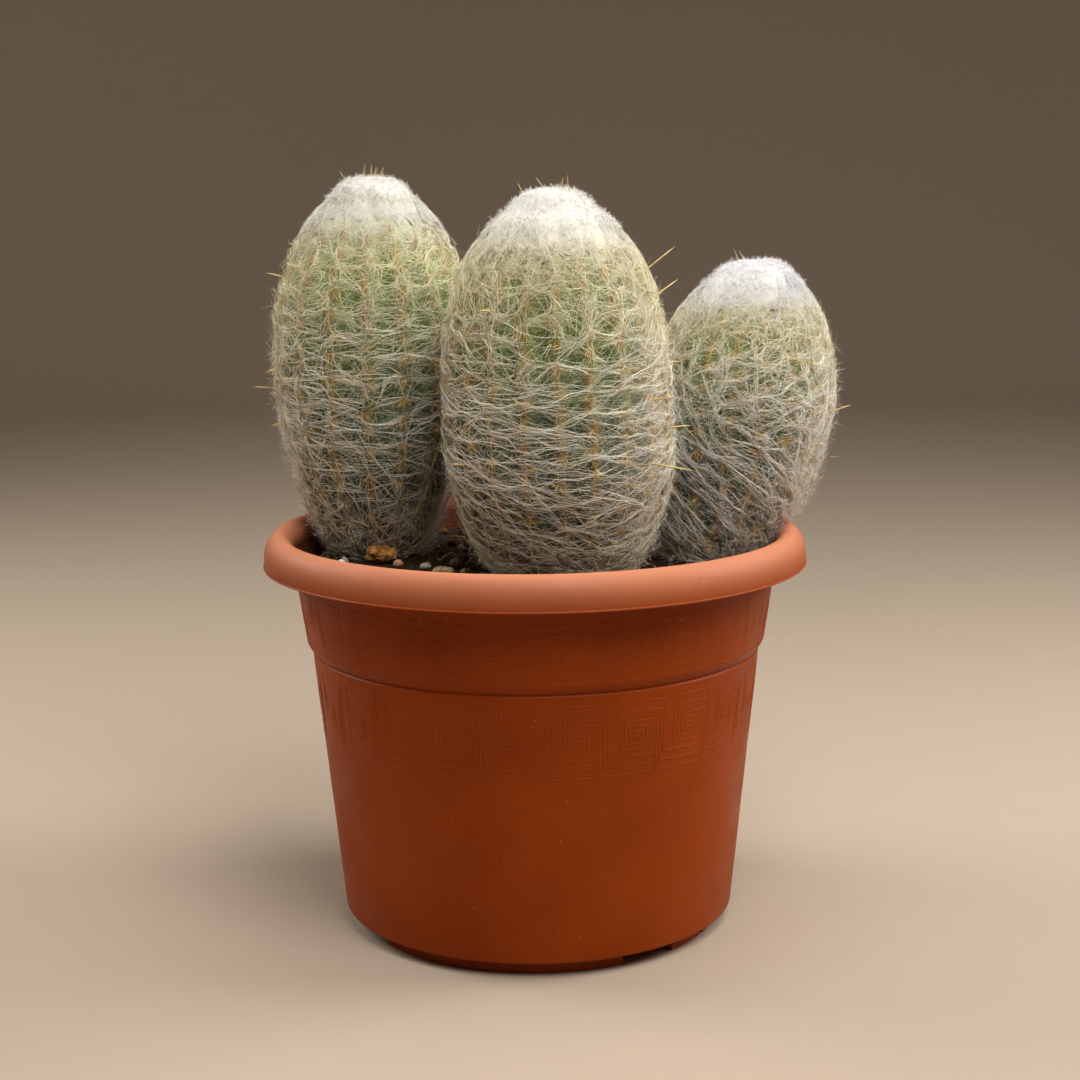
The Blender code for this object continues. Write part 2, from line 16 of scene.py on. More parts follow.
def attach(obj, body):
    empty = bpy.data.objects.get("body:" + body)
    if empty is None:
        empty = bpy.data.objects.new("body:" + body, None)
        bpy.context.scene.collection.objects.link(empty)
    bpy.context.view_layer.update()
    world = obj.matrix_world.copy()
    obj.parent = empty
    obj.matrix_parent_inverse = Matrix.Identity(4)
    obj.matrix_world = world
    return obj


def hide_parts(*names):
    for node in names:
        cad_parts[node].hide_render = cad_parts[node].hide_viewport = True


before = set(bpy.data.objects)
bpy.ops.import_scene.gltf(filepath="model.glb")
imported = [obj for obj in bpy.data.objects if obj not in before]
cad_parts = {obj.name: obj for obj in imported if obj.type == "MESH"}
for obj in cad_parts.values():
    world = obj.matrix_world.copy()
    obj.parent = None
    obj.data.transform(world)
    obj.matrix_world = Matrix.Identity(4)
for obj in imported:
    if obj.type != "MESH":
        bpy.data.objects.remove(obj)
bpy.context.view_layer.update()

TURN = 2.0 * math.pi

# Camera and studio
POT_X = -0.0036
CAMERA_PLACE = (POT_X + 0.00136, -0.500, 0.18835)
CAMERA_PITCH = math.radians(10.05)
CAMERA_ROLL = math.radians(-0.62)
CAMERA_LENS = 64.946
STAGE_FLAT = 1.30
STAGE_CURVE = 0.60
STAGE_WALL = 0.70
STAGE_COLOUR = (0.42, 0.335, 0.255)
STAGE_SIDES = 96
STAGE_STEPS = 12
WORLD_COLOUR = (1.0, 0.94, 0.86)
WORLD_STRENGTH = 0.22
LIGHT_SIZE = 0.40
WARM_WHITE = (1.0, 0.985, 0.96)
CLEAR_WHITE = (1.0, 0.99, 0.97)
# Each light's place, what it points at, its watts and its colour
LIGHTS = {
    "light_above": ((0.09, -0.05, 0.62), (0.01, 0.0, 0.12), 1.6, WARM_WHITE),
    "light_high": ((0.17, -0.46, 0.68), (0.0, 0.0, 0.12), 4.0, WARM_WHITE),
    "light_right": ((0.62, 0.06, 0.46), (0.0, 0.0, 0.14), 4.1, CLEAR_WHITE),
    "light_left": ((-0.62, 0.20, 0.48), (0.0, 0.0, 0.14), 3.4, CLEAR_WHITE),
}

# Pot, the same sizes as in the solids
POT_SIDES = 192
FOOT_HEIGHT = 0.0039
FOOT_OUTER = 0.0474
FOOT_WALL = 0.0017
NOTCH_WEB = 0.0002
WALL_THICK = 0.0014
FLOOR_THICK = 0.0016
WALL_EDGE_ROUND = 0.0005
FLOOR_EDGE_ROUND = 0.0010
WALL_BOTTOM_RADIUS = 0.0513
GROOVE_Z = 0.0730
GROOVE_RADIUS = 0.0582
GROOVE_LINE = 0.00035
STEP_HEIGHT = 0.0026
STEP_DEPTH = 0.0014
BAND_TOP_Z = 0.0955
BAND_TOP_RADIUS = 0.0624
RIM_RADIUS = 0.0700
RIM_ROLL_HALF = 0.0040
RIM_ROLL_Z = 0.0974
RIM_ROLL_RISE = 0.0061
RIM_SEAM_Z = 0.0951
RIM_SHELL = 0.0013
RIM_BEAD = 0.00022
# Heights and radius of plain rings in the wall and the floor, and the air over the rim
WALL_RINGS = (0.020, 0.037, 0.055, 0.0715, 0.0725)
FLOOR_RING = 0.036
RIM_AIR = 0.0001
# Painted sheen colour over these heights, and painted shade in a soil colour by height, radius or
# depth
PAINTED_SHEEN = (0.58, 0.240, 0.135)
RIM_SHEEN_HEIGHTS = (0.0945, 0.1035)
INNER_SHADE_COLOUR = (0.05, 0.016, 0.007)
INNER_SHADE_LOW = (0.0936, 0.0941)
INNER_SHADE_TOP = (0.0985, 0.1020)
INNER_SHADE_WALL = (0.0622, 0.0648)
LIP_SHADE_DEPTHS = (0.050, 0.059)
LIP_SHADE_RADII = (0.0650, 0.0668)
FOOT_START_DEG = -55.0
FOOT_NOTCHES_DEG = ((81.0, 100.0), (115.0, 118.0), (155.0, 180.0))
DRAIN_RADIUS = 0.0030
DRAIN_CIRCLE = 0.0300
DRAIN_COUNT = 5
DRAIN_SIDES = 24

# Key pattern: corners in metres across and up from a unit's first upright, and half the width
# of each bar. Each edge is a low ridge: half its width, its rise on wall and band, how deep it
# sinks, and the steps along it
KEY_UNITS = 24
RIDGE_HALF = 0.00030
RIDGE_RISE = (0.00009, 0.00006)
RIDGE_SINK = 0.00012
RIDGE_STEP = 0.0030
RIDGE_SHORTEST = 0.00005
KEY_LOWER_START = math.radians(16.4)
KEY_LOWER = ((0.0130, 0.0541), (0.0, 0.0541), (0.0, 0.0675), (-0.0097, 0.0675),
             (-0.0097, 0.0594), (-0.0050, 0.0594), (-0.0050, 0.0625), (-0.0072, 0.0625))
KEY_WIDTHS = (0.0023, 0.0010, 0.0024, 0.0012, 0.0013, 0.0010, 0.0012)
KEY_UPPER_START = math.radians(29.0)
KEY_UPPER = ((-0.0135, 0.0782), (0.0, 0.0782), (0.0, 0.0880), (0.0098, 0.0880),
             (0.0098, 0.0818), (0.0050, 0.0818), (0.0050, 0.0843), (0.0072, 0.0843))

# Soil
SOIL_Z = 0.0940
SOIL_BUMP = 0.0008
# Share and fineness of each layer of the soil's relief
SOIL_NOISE = ((0.55, 140.0), (0.35, 330.0), (0.30, 760.0), (0.20, 1500.0))
SOIL_SIDES = 144
SOIL_RINGS = 54
SOIL_WALL_GAP = 0.0005
SOIL_CALM = 0.0030
CLEARANCE = 0.0003
# How many, and the room that they keep from the wall and from the stems' middles
CRUMBS = 900
CRUMB_EDGE = 0.0016
LITTER = 110
LITTER_EDGE = 0.0040
FOOT_ROOM = 0.0105
# Depth of the stones' pits as a share of their size, and how much deeper the bark's are
PITS = 0.055
BARK_PITS = 2.4
# Roots and splinters in set places: points from the soil's middle, width and colour share
SET_LITTER = (
    (((-0.0250, -0.0098, 0.0002), (-0.0236, -0.0094, 0.0032), (-0.0214, -0.0090, 0.0044),
      (-0.0195, -0.0094, 0.0032), (-0.0184, -0.0102, 0.0002)), 0.00032, 0.84),
    (((0.0280, -0.0225, 0.0006), (0.0300, -0.0218, 0.0016), (0.0322, -0.0222, 0.0009),
      (0.0346, -0.0214, 0.0014)), 0.00050, 0.78),
    (((0.0292, -0.0205, 0.0004), (0.0312, -0.0212, 0.0012), (0.0336, -0.0204, 0.0006)),
     0.00070, 0.62),
    (((0.0330, -0.0214, 0.0006), (0.0336, -0.0212, 0.0026), (0.0344, -0.0210, 0.0046)),
     0.00018, 0.84),
)
PEG_RADIUS = 0.0080
PEG_DEPTH = 0.0080
COLLAR_HEIGHT = 0.0016

# Stems and wool, the same sizes as in the solids
WOOL_DEPTH = 0.0026
CROWN_THICK = 0.0040
SWAY_HEIGHT = 0.0300
RIB_DEPTH = 0.0030
NET_FOOT = 0.0026
AREOLE_PITCH = 0.0074
SPINES_PER_STEM = 16
CAP_SPINES = {"left": 8, "middle": 4, "right": 2}
SPINE_LOWEST = 0.0180
SPINE_AIR = 0.0015
SPINE_SWING = math.radians(24.0)
LIP_LIMIT = 0.0604
LIP_LIMIT_Z = 0.1018
LIP_LIMIT_SLOPE = 1.3

# Finer than in the solids, or in the scene alone
OUTLINE_SAMPLES = 1600
OUTLINE_POINTS = 500
LIP_TOUCH = 0.0012
BODY_STEPS = 6
BODY_ROWS = 64
FINE_PITCH = 0.0056
# Height share where the areoles start, and how far they reach into the crown
AREOLES_FROM = 0.035
AREOLES_IN_CROWN = 0.62
AREOLE_SWELL = 0.0006
AREOLE_HALF = 0.0012
FELTED_WIDTH = 0.50
LOWEST_HAIR = 0.0003
BRUSH_HAIRS = 11
THIN_SPINES = 2
LONG_SPINE_WIDTH = 0.00042
CAP_SPINE_WIDTH = 0.00013
CROWN_SIDES = 84
CROWN_ROWS = 18
# Radius that turns small sideways lengths into angles
SIDE_RADIUS = 0.025
# Painted brightness of each crown pad at height shares 0.90, 0.94, 0.97 and 1.00
# Lighter at the foot where shade falls and darker higher up where the light is strong
CROWN_COUNTERLIGHT = {"left": (1.0, 1.0, 0.90, 0.78), "middle": (0.93, 0.79, 0.73, 0.78),
                "right": (0.93, 0.81, 0.72, 0.77)}
# Colour of the lying hairs at each stem's foot
LOW_HAIR = {"left": (0.20, 0.17, 0.12), "middle": (0.44, 0.36, 0.26),
            "right": (0.42, 0.37, 0.30)}

# A stem's middle on the soil, its lean and sway, its top and widest height over the soil, where its
# lower outline would close, its widest radius, the powers of its upper and lower outline, and the
# knob on top (radius, height, power). Its spines are azimuth, height, length and elevation.
Stem = namedtuple("Stem", "name x y lean sway top widest low radius upper knob lower ribs crown"
                          " spines seed")
STEMS = (
    Stem(name="left", x=-0.0424, y=0.0170, lean=0.008, sway=(0.0, 0.0), top=0.0994,
         widest=0.0507, low=-0.0140, radius=0.02705, upper=(2.62, 1.55),
         knob=(0.0106, 0.0088, 2.8), lower=(1.92, 1.29), ribs=16, crown=0.0130,
         spines=((185, 0.045, 0.0085, 5), (200, 0.030, 0.0060, -15), (165, 0.078, 0.0070, 20),
                 (215, 0.052, 0.0060, -20)), seed=11),
    Stem(name="middle", x=0.0070, y=-0.0175, lean=-0.022, sway=(0.0, 0.0), top=0.0961,
         widest=0.0301, low=-0.0023, radius=0.02924, upper=(3.66, 1.43),
         knob=(0.0133, 0.0183, 2.7), lower=(1.20, 3.90), ribs=20, crown=0.0150,
         spines=((-8, 0.074, 0.0115, 38), (10, 0.070, 0.0110, 32), (-38, 0.033, 0.0130, -4),
                 (-24, 0.046, 0.0080, 12), (-30, 0.039, 0.0075, 8)), seed=23),
    Stem(name="right", x=0.0464, y=0.0070, lean=0.109, sway=(0.0030, 0.0035), top=0.0772,
         widest=0.0379, low=-0.0035, radius=0.02550, upper=(2.13, 1.79),
         knob=(0.0106, 0.0064, 2.6), lower=(1.20, 3.77), ribs=18, crown=0.0120,
         spines=((-30, 0.030, 0.0060, 10), (-75, 0.052, 0.0060, 10)), seed=37),
)

Stone = namedtuple("Stone", "name x y size seed slot")
STONES = (
    Stone("bark_chip", -0.0402, -0.0006, (0.0080, 0.0050, 0.0046), 5, "bark"),
    Stone("pebble_pink", -0.0352, -0.0075, (0.0026, 0.0022, 0.0020), 6, "pink_stone"),
    Stone("pebble_grey", -0.0280, -0.0110, (0.0030, 0.0024, 0.0019), 7, "grey_stone"),
    Stone("stone_tan", -0.0232, -0.0190, (0.0056, 0.0036, 0.0024), 8, "tan_stone"),
    Stone("pebble_olive", -0.0203, -0.0085, (0.0034, 0.0030, 0.0026), 9, "olive_stone"),
    Stone("perlite", -0.0502, -0.0040, (0.0022, 0.0018, 0.0016), 10, "perlite"),
)

# How each stem's wool grows. A link ties an areole to a neighbour, a ring goes round a window, a
# wind runs over the net, loose hairs wander, felt lies near the skin. Ties and pull are values by
# height share: where the links are, and how strongly the winds gather into strings. A band is
# (height share, heading, scatter, curl) and they blend. Headings are degrees in the surface: 0
# towards the right as seen from outside, 90 up. Curl is the spread of the strands' bend, in
# radians per metre. A ring's place is in rib widths beside its areole. The cap is the height of
# the white wool on top. The veil is thicker towards a side: its azimuth and the share drawn there.
# Windows say how strongly hairs bend round the green cells, by height share.
Wool = namedtuple("Wool", "links ties rings ring_place winds strands points reach loose felt bands"
                          " pull tilt sag cap veil tint windows")
WOOLS = {
    "left": Wool(
        links=900, ties=((0.00, 0.25), (0.25, 0.5), (0.40, 1.0), (0.60, 1.0), (0.90, 0.4)),
        rings=620, ring_place=0.5, winds=500, strands=3, points=6, reach=(0.008, 0.022),
        loose=1300, felt=2300,
        bands=((0.00, -80, 40, 60), (0.22, -90, 24, 45), (0.31, -5, 18, 30),
               (0.37, -10, 40, 60), (0.58, 0, 60, 130), (0.80, 0, 90, 220)),
        pull=((0.28, 0.0), (0.36, 0.7), (0.75, 0.5), (0.85, 0.0)),
        tilt=0.0, sag=0.0, cap=0.0056, veil=(180.0, 0.15), tint=(1.00, 0.985, 0.935),
        windows=((0.22, 0.0), (0.34, 0.50), (0.80, 0.65), (0.90, 0.0))),
    "middle": Wool(
        links=420, ties=((0.00, 0.5), (0.30, 0.5), (0.45, 0.3), (0.62, 1.0), (0.90, 0.6)),
        rings=560, ring_place=0.5, winds=760, strands=3, points=7, reach=(0.014, 0.036),
        loose=900, felt=2300,
        bands=((0.00, -12, 22, 40), (0.22, -8, 15, 28), (0.34, -3, 8, 16),
               (0.55, 0, 10, 18), (0.63, 20, 50, 130), (0.80, 0, 80, 200)),
        pull=((0.00, 0.4), (0.10, 0.8), (0.55, 0.85), (0.64, 0.4), (0.80, 0.0)),
        tilt=0.08, sag=0.55, cap=0.0095, veil=(-10.0, 0.38), tint=(1.00, 0.985, 0.95),
        windows=((0.50, 0.0), (0.60, 0.70), (0.80, 0.70), (0.90, 0.0))),
    "right": Wool(
        links=480, ties=((0.00, 0.10), (0.35, 0.15), (0.50, 1.2), (0.90, 1.0)),
        rings=900, ring_place=0.0, winds=420, strands=5, points=6, reach=(0.010, 0.032),
        loose=1200, felt=2100,
        bands=((0.00, -50, 18, 30), (0.16, -38, 9, 18), (0.42, -34, 9, 18),
               (0.52, -60, 40, 90), (0.72, 90, 50, 160), (0.84, 0, 90, 220)),
        pull=((0.00, 0.5), (0.12, 0.85), (0.42, 0.85), (0.50, 0.0)),
        tilt=0.65, sag=0.0, cap=0.0062, veil=(-8.0, 0.45), tint=(1.00, 0.995, 1.03),
        windows=((0.40, 0.0), (0.50, 0.65), (0.82, 0.65), (0.92, 0.0))),
}

# Ribs that a link crosses, and how often
LINK_RIBS = (-2.0, -1.0, 1.0, 2.0)
LINK_ODDS = (0.08, 0.42, 0.42, 0.08)
# Share of the areoles that start rings and bundles, and of the places where felt grows, and
# the scatter of the felt's headings in degrees, all by height share
RING_WEIGHTS = ((0.40, 0.02), (0.58, 1.0), (0.80, 1.0), (0.90, 0.5))
BUNDLE_WEIGHTS = ((0.0, 1.0), (0.5, 1.0), (0.7, 0.8), (0.9, 1.1))
FELT_WEIGHTS = ((0.0, 1.0), (0.2, 0.7), (0.5, 0.55), (0.8, 0.50), (0.9, 0.9))
FELT_SCATTER = ((0.0, 60.0), (0.30, 30.0), (0.60, 34.0), (0.85, 90.0))


# Mesh helpers

def add_object(name, data, place=(0.0, 0.0, 0.0)):
    """Puts a mesh, light or camera in the scene."""
    obj = bpy.data.objects.new(name, data)
    obj.location = place
    bpy.context.scene.collection.objects.link(obj)
    return obj


def add_mesh(name, verts, faces, place=(0.0, 0.0, 0.0)):
    """A new object from arrays of points and of triangles."""
    mesh = bpy.data.meshes.new(name)
    faces = np.asarray(faces, np.int32)
    mesh.vertices.add(len(verts))
    mesh.vertices.foreach_set("co", np.asarray(verts, np.float32).ravel())
    mesh.loops.add(faces.size)
    mesh.loops.foreach_set("vertex_index", faces.ravel())
    mesh.polygons.add(len(faces))
    mesh.polygons.foreach_set("loop_start", np.arange(0, faces.size, 3, dtype=np.int32))
    mesh.update(calc_edges=True)
    mesh.polygons.foreach_set("use_smooth", np.ones(len(faces), bool))
    return add_object(name, mesh, place)


def add_bmesh(name, bm, place=(0.0, 0.0, 0.0)):
    """A new object from a bmesh, its faces turned outward."""
    bmesh.ops.recalc_face_normals(bm, faces=bm.faces)
    mesh = bpy.data.meshes.new(name)
    bm.to_mesh(mesh)
    bm.free()
    return add_object(name, mesh, place)


def smooth(obj, degrees):
    """Smooth shading with the edges over an angle left sharp."""
    obj.data.polygons.foreach_set("use_smooth", np.ones(len(obj.data.polygons), bool))
    obj.data.set_sharp_from_angle(angle=math.radians(degrees))


def finish_piece(obj, mat, slot, *replaced):
    """Material and body of a piece, and the nodes that it stands for. The finish slot is not used.
    """
    obj.data.materials.clear()
    obj.data.materials.append(mat)
    bpy.context.view_layer.update()
    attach(obj, "root")
    if replaced:
        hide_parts(*replaced)
    return obj


def point_tone(obj, values):
    """Stores three shares for each point that the materials read: height, chance, along."""
    layer = obj.data.color_attributes.new("tone", "FLOAT_COLOR", "POINT")
    colours = np.ones((len(values), 4), np.float32)
    colours[:, :3] = values
    layer.data.foreach_set("color", colours.ravel())


def circle_points(radius, z, sides, centre=(0.0, 0.0)):
    """Points of a level circle, counter-clockwise from +X."""
    turns = [TURN * i / sides for i in range(sides)]
    return [Vector((centre[0] + radius * math.cos(a), centre[1] + radius * math.sin(a), z))
            for a in turns]


def bridge(bm, ring_a, ring_b):
    """Quads between two rings of a bmesh."""
    for i in range(len(ring_a)):
        j = (i + 1) % len(ring_a)
        bm.faces.new((ring_a[i], ring_a[j], ring_b[j], ring_b[i]))


def fan(bm, ring, centre):
    """Triangles from a ring of a bmesh to one point."""
    for i in range(len(ring)):
        bm.faces.new((ring[i], ring[(i + 1) % len(ring)], centre))


def ring_quads(first, rings, sides):
    """Quads between neighbouring rings in an array of points, from the first point's number."""
    i = np.arange(sides)
    j = (i + 1) % sides
    return [np.stack((a + i, a + j, a + sides + j, a + sides + i), -1)
            for a in range(first, first + (rings - 1) * sides, sides)]


def cap_tris(first, sides, tip):
    """Triangles from one ring in an array of points to the point that closes it."""
    i = np.arange(sides)
    return np.stack((first + i, first + (i + 1) % sides, np.full(sides, tip)), -1)


def turned(profile, sides):
    """A closed turned solid; the profile's first and last radius may be zero."""
    bm = bmesh.new()
    rings = []
    for radius, z in profile:
        if radius == 0.0:
            rings.append([bm.verts.new((0.0, 0.0, z))])
        else:
            rings.append([bm.verts.new(p) for p in circle_points(radius, z, sides)])
    for ring_a, ring_b in zip(rings, rings[1:]):
        if len(ring_a) == 1:
            fan(bm, ring_b, ring_a[0])
        elif len(ring_b) == 1:
            fan(bm, ring_a, ring_b[0])
        else:
            bridge(bm, ring_a, ring_b)
    return bm


def cut(target, cutters):
    """Takes the cutters out of the target and removes them."""
    for cutter in cutters:
        tool = target.modifiers.new("cut", "BOOLEAN")
        tool.operation = "DIFFERENCE"
        tool.solver = "EXACT"
        tool.object = cutter
        bpy.context.view_layer.update()
        graph = bpy.context.evaluated_depsgraph_get()
        mesh = bpy.data.meshes.new_from_object(target.evaluated_get(graph))
        target.modifiers.clear()
        target.data = mesh
        bpy.data.objects.remove(cutter)


# Materials

def add_node(tree, kind, **values):
    """A shader node with its options and inputs by name, linked where the value is a socket."""
    node = tree.nodes.new(kind)
    for key, value in values.items():
        if hasattr(node, key):
            setattr(node, key, value)
        elif isinstance(value, bpy.types.NodeSocket):
            tree.links.new(value, node.inputs[key])
        else:
            node.inputs[key].default_value = value
    return node


def new_material(name, roughness, specular):
    """A material, its node tree and its shader."""
    mat = bpy.data.materials.new(name)
    mat.use_nodes = True
    shader = mat.node_tree.nodes["Principled BSDF"]
    shader.inputs["Roughness"].default_value = roughness
    shader.inputs["Specular IOR Level"].default_value = specular
    return mat, mat.node_tree, shader


def paint(tree, shader, colour, rough=None):
    """Links a colour to the shader, and a roughness where one is given."""
    tree.links.new(colour, shader.inputs["Base Color"])
    if rough:
        tree.links.new(rough, shader.inputs["Roughness"])


def own_place(tree):
    """Places in the object's own coordinates."""
    return add_node(tree, "ShaderNodeTexCoord").outputs["Object"]


def noise_of(tree, scale, detail=3.0, rough=0.5):
    """Noise over the object's own coordinates, in features per metre."""
    node = add_node(tree, "ShaderNodeTexNoise", Vector=own_place(tree), Scale=scale,
                    Detail=detail, Roughness=rough)
    return node.outputs["Fac"]


def ramp(tree, source, stops):
    """Colours or greys along a value."""
    node = add_node(tree, "ShaderNodeValToRGB", Fac=source)
    elements = node.color_ramp.elements
    while len(elements) < len(stops):
        elements.new(0.5)
    for element, (place, colour) in zip(elements, stops):
        element.position = place
        if not isinstance(colour, tuple):
            colour = (colour, colour, colour)
        element.color = (*colour, 1.0)
    return node.outputs["Color"]


def mix(tree, share, first, second, blend="MIX"):
    """Mixes two colours by a share, each a socket or a value."""
    node = add_node(tree, "ShaderNodeMix", data_type="RGBA", blend_type=blend)
    for socket, value in ((0, share), (6, first), (7, second)):
        if isinstance(value, bpy.types.NodeSocket):
            tree.links.new(value, node.inputs[socket])
        elif isinstance(value, tuple):
            node.inputs[socket].default_value = (*value, 1.0)
        else:
            node.inputs[socket].default_value = value
    return node.outputs[2]


def times(tree, first, second):
    """One colour or share times another."""
    return mix(tree, 1.0, first, second, "MULTIPLY")


def bump(tree, shader, height, distance, strength):
    """Fine relief in the shading, with its depth in metres."""
    node = add_node(tree, "ShaderNodeBump", Distance=distance, Strength=strength, Height=height)
    tree.links.new(node.outputs["Normal"], shader.inputs["Normal"])


def tone_of(tree):
    """The three shares that point_tone stored."""
    layer = add_node(tree, "ShaderNodeAttribute", attribute_name="tone")
    parts = add_node(tree, "ShaderNodeSeparateColor", Color=layer.outputs["Color"])
    return parts.outputs[0], parts.outputs[1], parts.outputs[2]


def span(tree, value, low, high, at_low, at_high):
    """A value carried from one range to another, held at its ends."""
    node = add_node(tree, "ShaderNodeMapRange", **{
        "Value": value, "From Min": low, "From Max": high, "To Min": at_low, "To Max": at_high})
    return node.outputs["Result"]


def painted_inner_shade(tree, place, depth, height):
    """Share of a damp soil colour painted as shade inside the wall over the soil and just under the
    rim, and on the rim's back.
    """
    flat = add_node(tree, "ShaderNodeVectorMath", operation="MULTIPLY", Vector=place)
    flat.inputs[1].default_value = (1.0, 1.0, 0.0)
    radius = add_node(tree, "ShaderNodeVectorMath", operation="LENGTH",
                      Vector=flat.outputs["Vector"]).outputs["Value"]
    above = span(tree, height, *INNER_SHADE_LOW, 0.0, 1.0)
    inside = times(tree, span(tree, radius, *INNER_SHADE_WALL, 0.9, 0.0), above)
    wall = times(tree, inside, span(tree, height, *INNER_SHADE_TOP, 1.0, 0.0))
    behind = span(tree, depth, *LIP_SHADE_DEPTHS, 0.0, 0.85)
    lip = times(tree, behind, span(tree, radius, *LIP_SHADE_RADII, 1.0, 0.0))
    return mix(tree, 1.0, wall, times(tree, lip, above), "LIGHTEN")


def plastic_material(name, rail_sheen):
    """Moulded terracotta plastic: cloudy colour, specks, a painted sheen that makes the rim and the
    rails paler, painted shade inside the wall and a satin grain.
    """
    mat, tree, shader = new_material(name, 0.42, 0.09)
    cloud = ramp(tree, noise_of(tree, 38.0, 3.0), ((0.30, (0.226, 0.0325, 0.0010)),
                                                   (0.72, (0.276, 0.0430, 0.0020))))
    pale = ramp(tree, noise_of(tree, 1500.0, 2.0), ((0.74, 0.0), (0.80, 1.0)))
    dark = ramp(tree, noise_of(tree, 1150.0, 1.0), ((0.20, 0.7), (0.24, 0.0)))
    # Pale specks of dust over the rails' painted highlight, which draws them towards the painted
    # sheen colour
    dust_and_sheen = mix(tree, pale, mix(tree, rail_sheen, cloud, PAINTED_SHEEN), (0.50, 0.24, 0.14))
    specked = mix(tree, dark, dust_and_sheen, (0.07, 0.016, 0.006))
    place = own_place(tree)
    parts = add_node(tree, "ShaderNodeSeparateXYZ", Vector=place)
    height = parts.outputs["Z"]
    # Painted sheen: the rim's crest is paler where the overhead light shines on it
    rim_sheen = mix(tree, span(tree, height, *RIM_SHEEN_HEIGHTS, 0.0, 0.75), specked, PAINTED_SHEEN)
    # Painted shade in a dark soil colour inside the wall, just under the rim and on the rim's back
    inner_shade = painted_inner_shade(tree, place, parts.outputs["Y"], height)
    rough = ramp(tree, noise_of(tree, 90.0, 3.0), ((0.3, 0.36), (0.7, 0.52)))
    paint(tree, shader, mix(tree, inner_shade, rim_sheen, INNER_SHADE_COLOUR), rough)
    bump(tree, shader, noise_of(tree, 1400.0, 3.0), 0.00006, 0.5)
    return mat


def soil_material():
    """Dark damp soil with brown fibres and pale grains."""
    mat, tree, shader = new_material("potting_soil", 0.95, 0.10)
    _, chance, _ = tone_of(tree)
    fine = ramp(tree, noise_of(tree, 900.0, 6.0, 0.7), ((0.30, (0.010, 0.006, 0.003)),
                                                        (0.55, (0.042, 0.023, 0.011)),
                                                        (0.75, (0.15, 0.085, 0.036))))
    lump = ramp(tree, chance, ((0.0, (0.012, 0.007, 0.004)), (0.45, (0.042, 0.023, 0.011)),
                               (0.70, (0.20, 0.095, 0.028)), (0.86, (0.36, 0.22, 0.10)),
                               (1.0, (0.50, 0.42, 0.32))))
    grains = ramp(tree, noise_of(tree, 2300.0, 2.0), ((0.68, 0.0), (0.76, 0.8)))
    base = mix(tree, 0.75, fine, lump)
    paint(tree, shader, mix(tree, grains, base, (0.16, 0.11, 0.07)))
    bump(tree, shader, noise_of(tree, 1300.0, 6.0, 0.7), 0.0004, 0.8)
    return mat


# Lines to the metre, their width as a share of the noise, and their shift
FIBRE_LAYERS = ((360.0, 0.024, 0.37), (560.0, 0.028, 0.37 * 2), (860.0, 0.034, 0.37 * 3))


def fibre_lines(tree, scale, width, shift, stretch):
    """Thin curled lines, as of fine hairs lying on a surface."""
    mapping = add_node(tree, "ShaderNodeMapping", Vector=own_place(tree),
                       Location=(shift, -shift, shift), Scale=stretch)
    node = add_node(tree, "ShaderNodeTexNoise", Vector=mapping.outputs["Vector"], Scale=scale,
                    Detail=1.5)
    return ramp(tree, node.outputs["Fac"],
                ((0.5 - width, 0.0), (0.5 - 0.3 * width, 1.0), (0.5 + 0.3 * width, 1.0),
                 (0.5 + width, 0.0)))


def fibre_mat(tree, stretch=(1.0, 1.0, 1.0)):
    """Several layers of thin lines over each other."""
    first, second, third = (fibre_lines(tree, scale, width, shift, stretch)
                            for scale, width, shift in FIBRE_LAYERS)
    return mix(tree, 1.0, mix(tree, 1.0, first, second, "LIGHTEN"), third, "LIGHTEN")


def skin_material(stem):
    """Waxy green skin under fine lying hairs, brighter near the crown and brown at the foot."""
    mat, tree, shader = new_material("green_skin_" + stem.name, 0.6, 0.35)
    height, felted, areole = tone_of(tree)
    green = ramp(tree, height, ((0.00, (0.060, 0.047, 0.028)), (0.14, (0.045, 0.048, 0.022)),
                                (0.45, (0.028, 0.072, 0.014)), (0.64, (0.085, 0.155, 0.010)),
                                (0.80, (0.16, 0.22, 0.03)), (0.87, (0.31, 0.33, 0.11)),
                                (0.94, (0.70, 0.68, 0.52))))
    bloom = ramp(tree, noise_of(tree, 420.0, 5.0, 0.65), ((0.45, 0.0), (0.75, 0.3)))
    waxy = mix(tree, bloom, green, (0.14, 0.19, 0.11))
    hair = ramp(tree, height, ((0.0, LOW_HAIR[stem.name]), (0.3, (0.48, 0.48, 0.42)),
                               (0.6, (0.52, 0.56, 0.36)), (0.85, (0.80, 0.78, 0.56))))
    lines = fibre_mat(tree, (1.0, 1.0, 2.2))
    shown = ramp(tree, height, ((0.0, 0.50), (0.4, 0.58), (0.7, 0.50), (0.85, 0.70)))
    covered = mix(tree, times(tree, lines, shown), waxy, hair)
    matted = mix(tree, felted, covered, (0.70, 0.67, 0.60))
    felt = ramp(tree, noise_of(tree, 1600.0, 3.0), ((0.3, (0.34, 0.17, 0.045)),
                                                    (0.7, (0.58, 0.36, 0.115))))
    rough = ramp(tree, noise_of(tree, 300.0, 3.0), ((0.3, 0.50), (0.7, 0.75)))
    paint(tree, shader, mix(tree, areole, matted, felt), rough)
    bump(tree, shader, lines, 0.00010, 0.6)
    return mat


# Colour of the wool by height share
WOOL_COLOURS = ((0.00, (0.60, 0.51, 0.39)), (0.14, (0.79, 0.71, 0.59)),
                (0.36, (0.88, 0.84, 0.75)), (0.60, (0.87, 0.84, 0.70)),
                (0.80, (0.86, 0.82, 0.58)), (0.91, (0.81, 0.805, 0.79)))


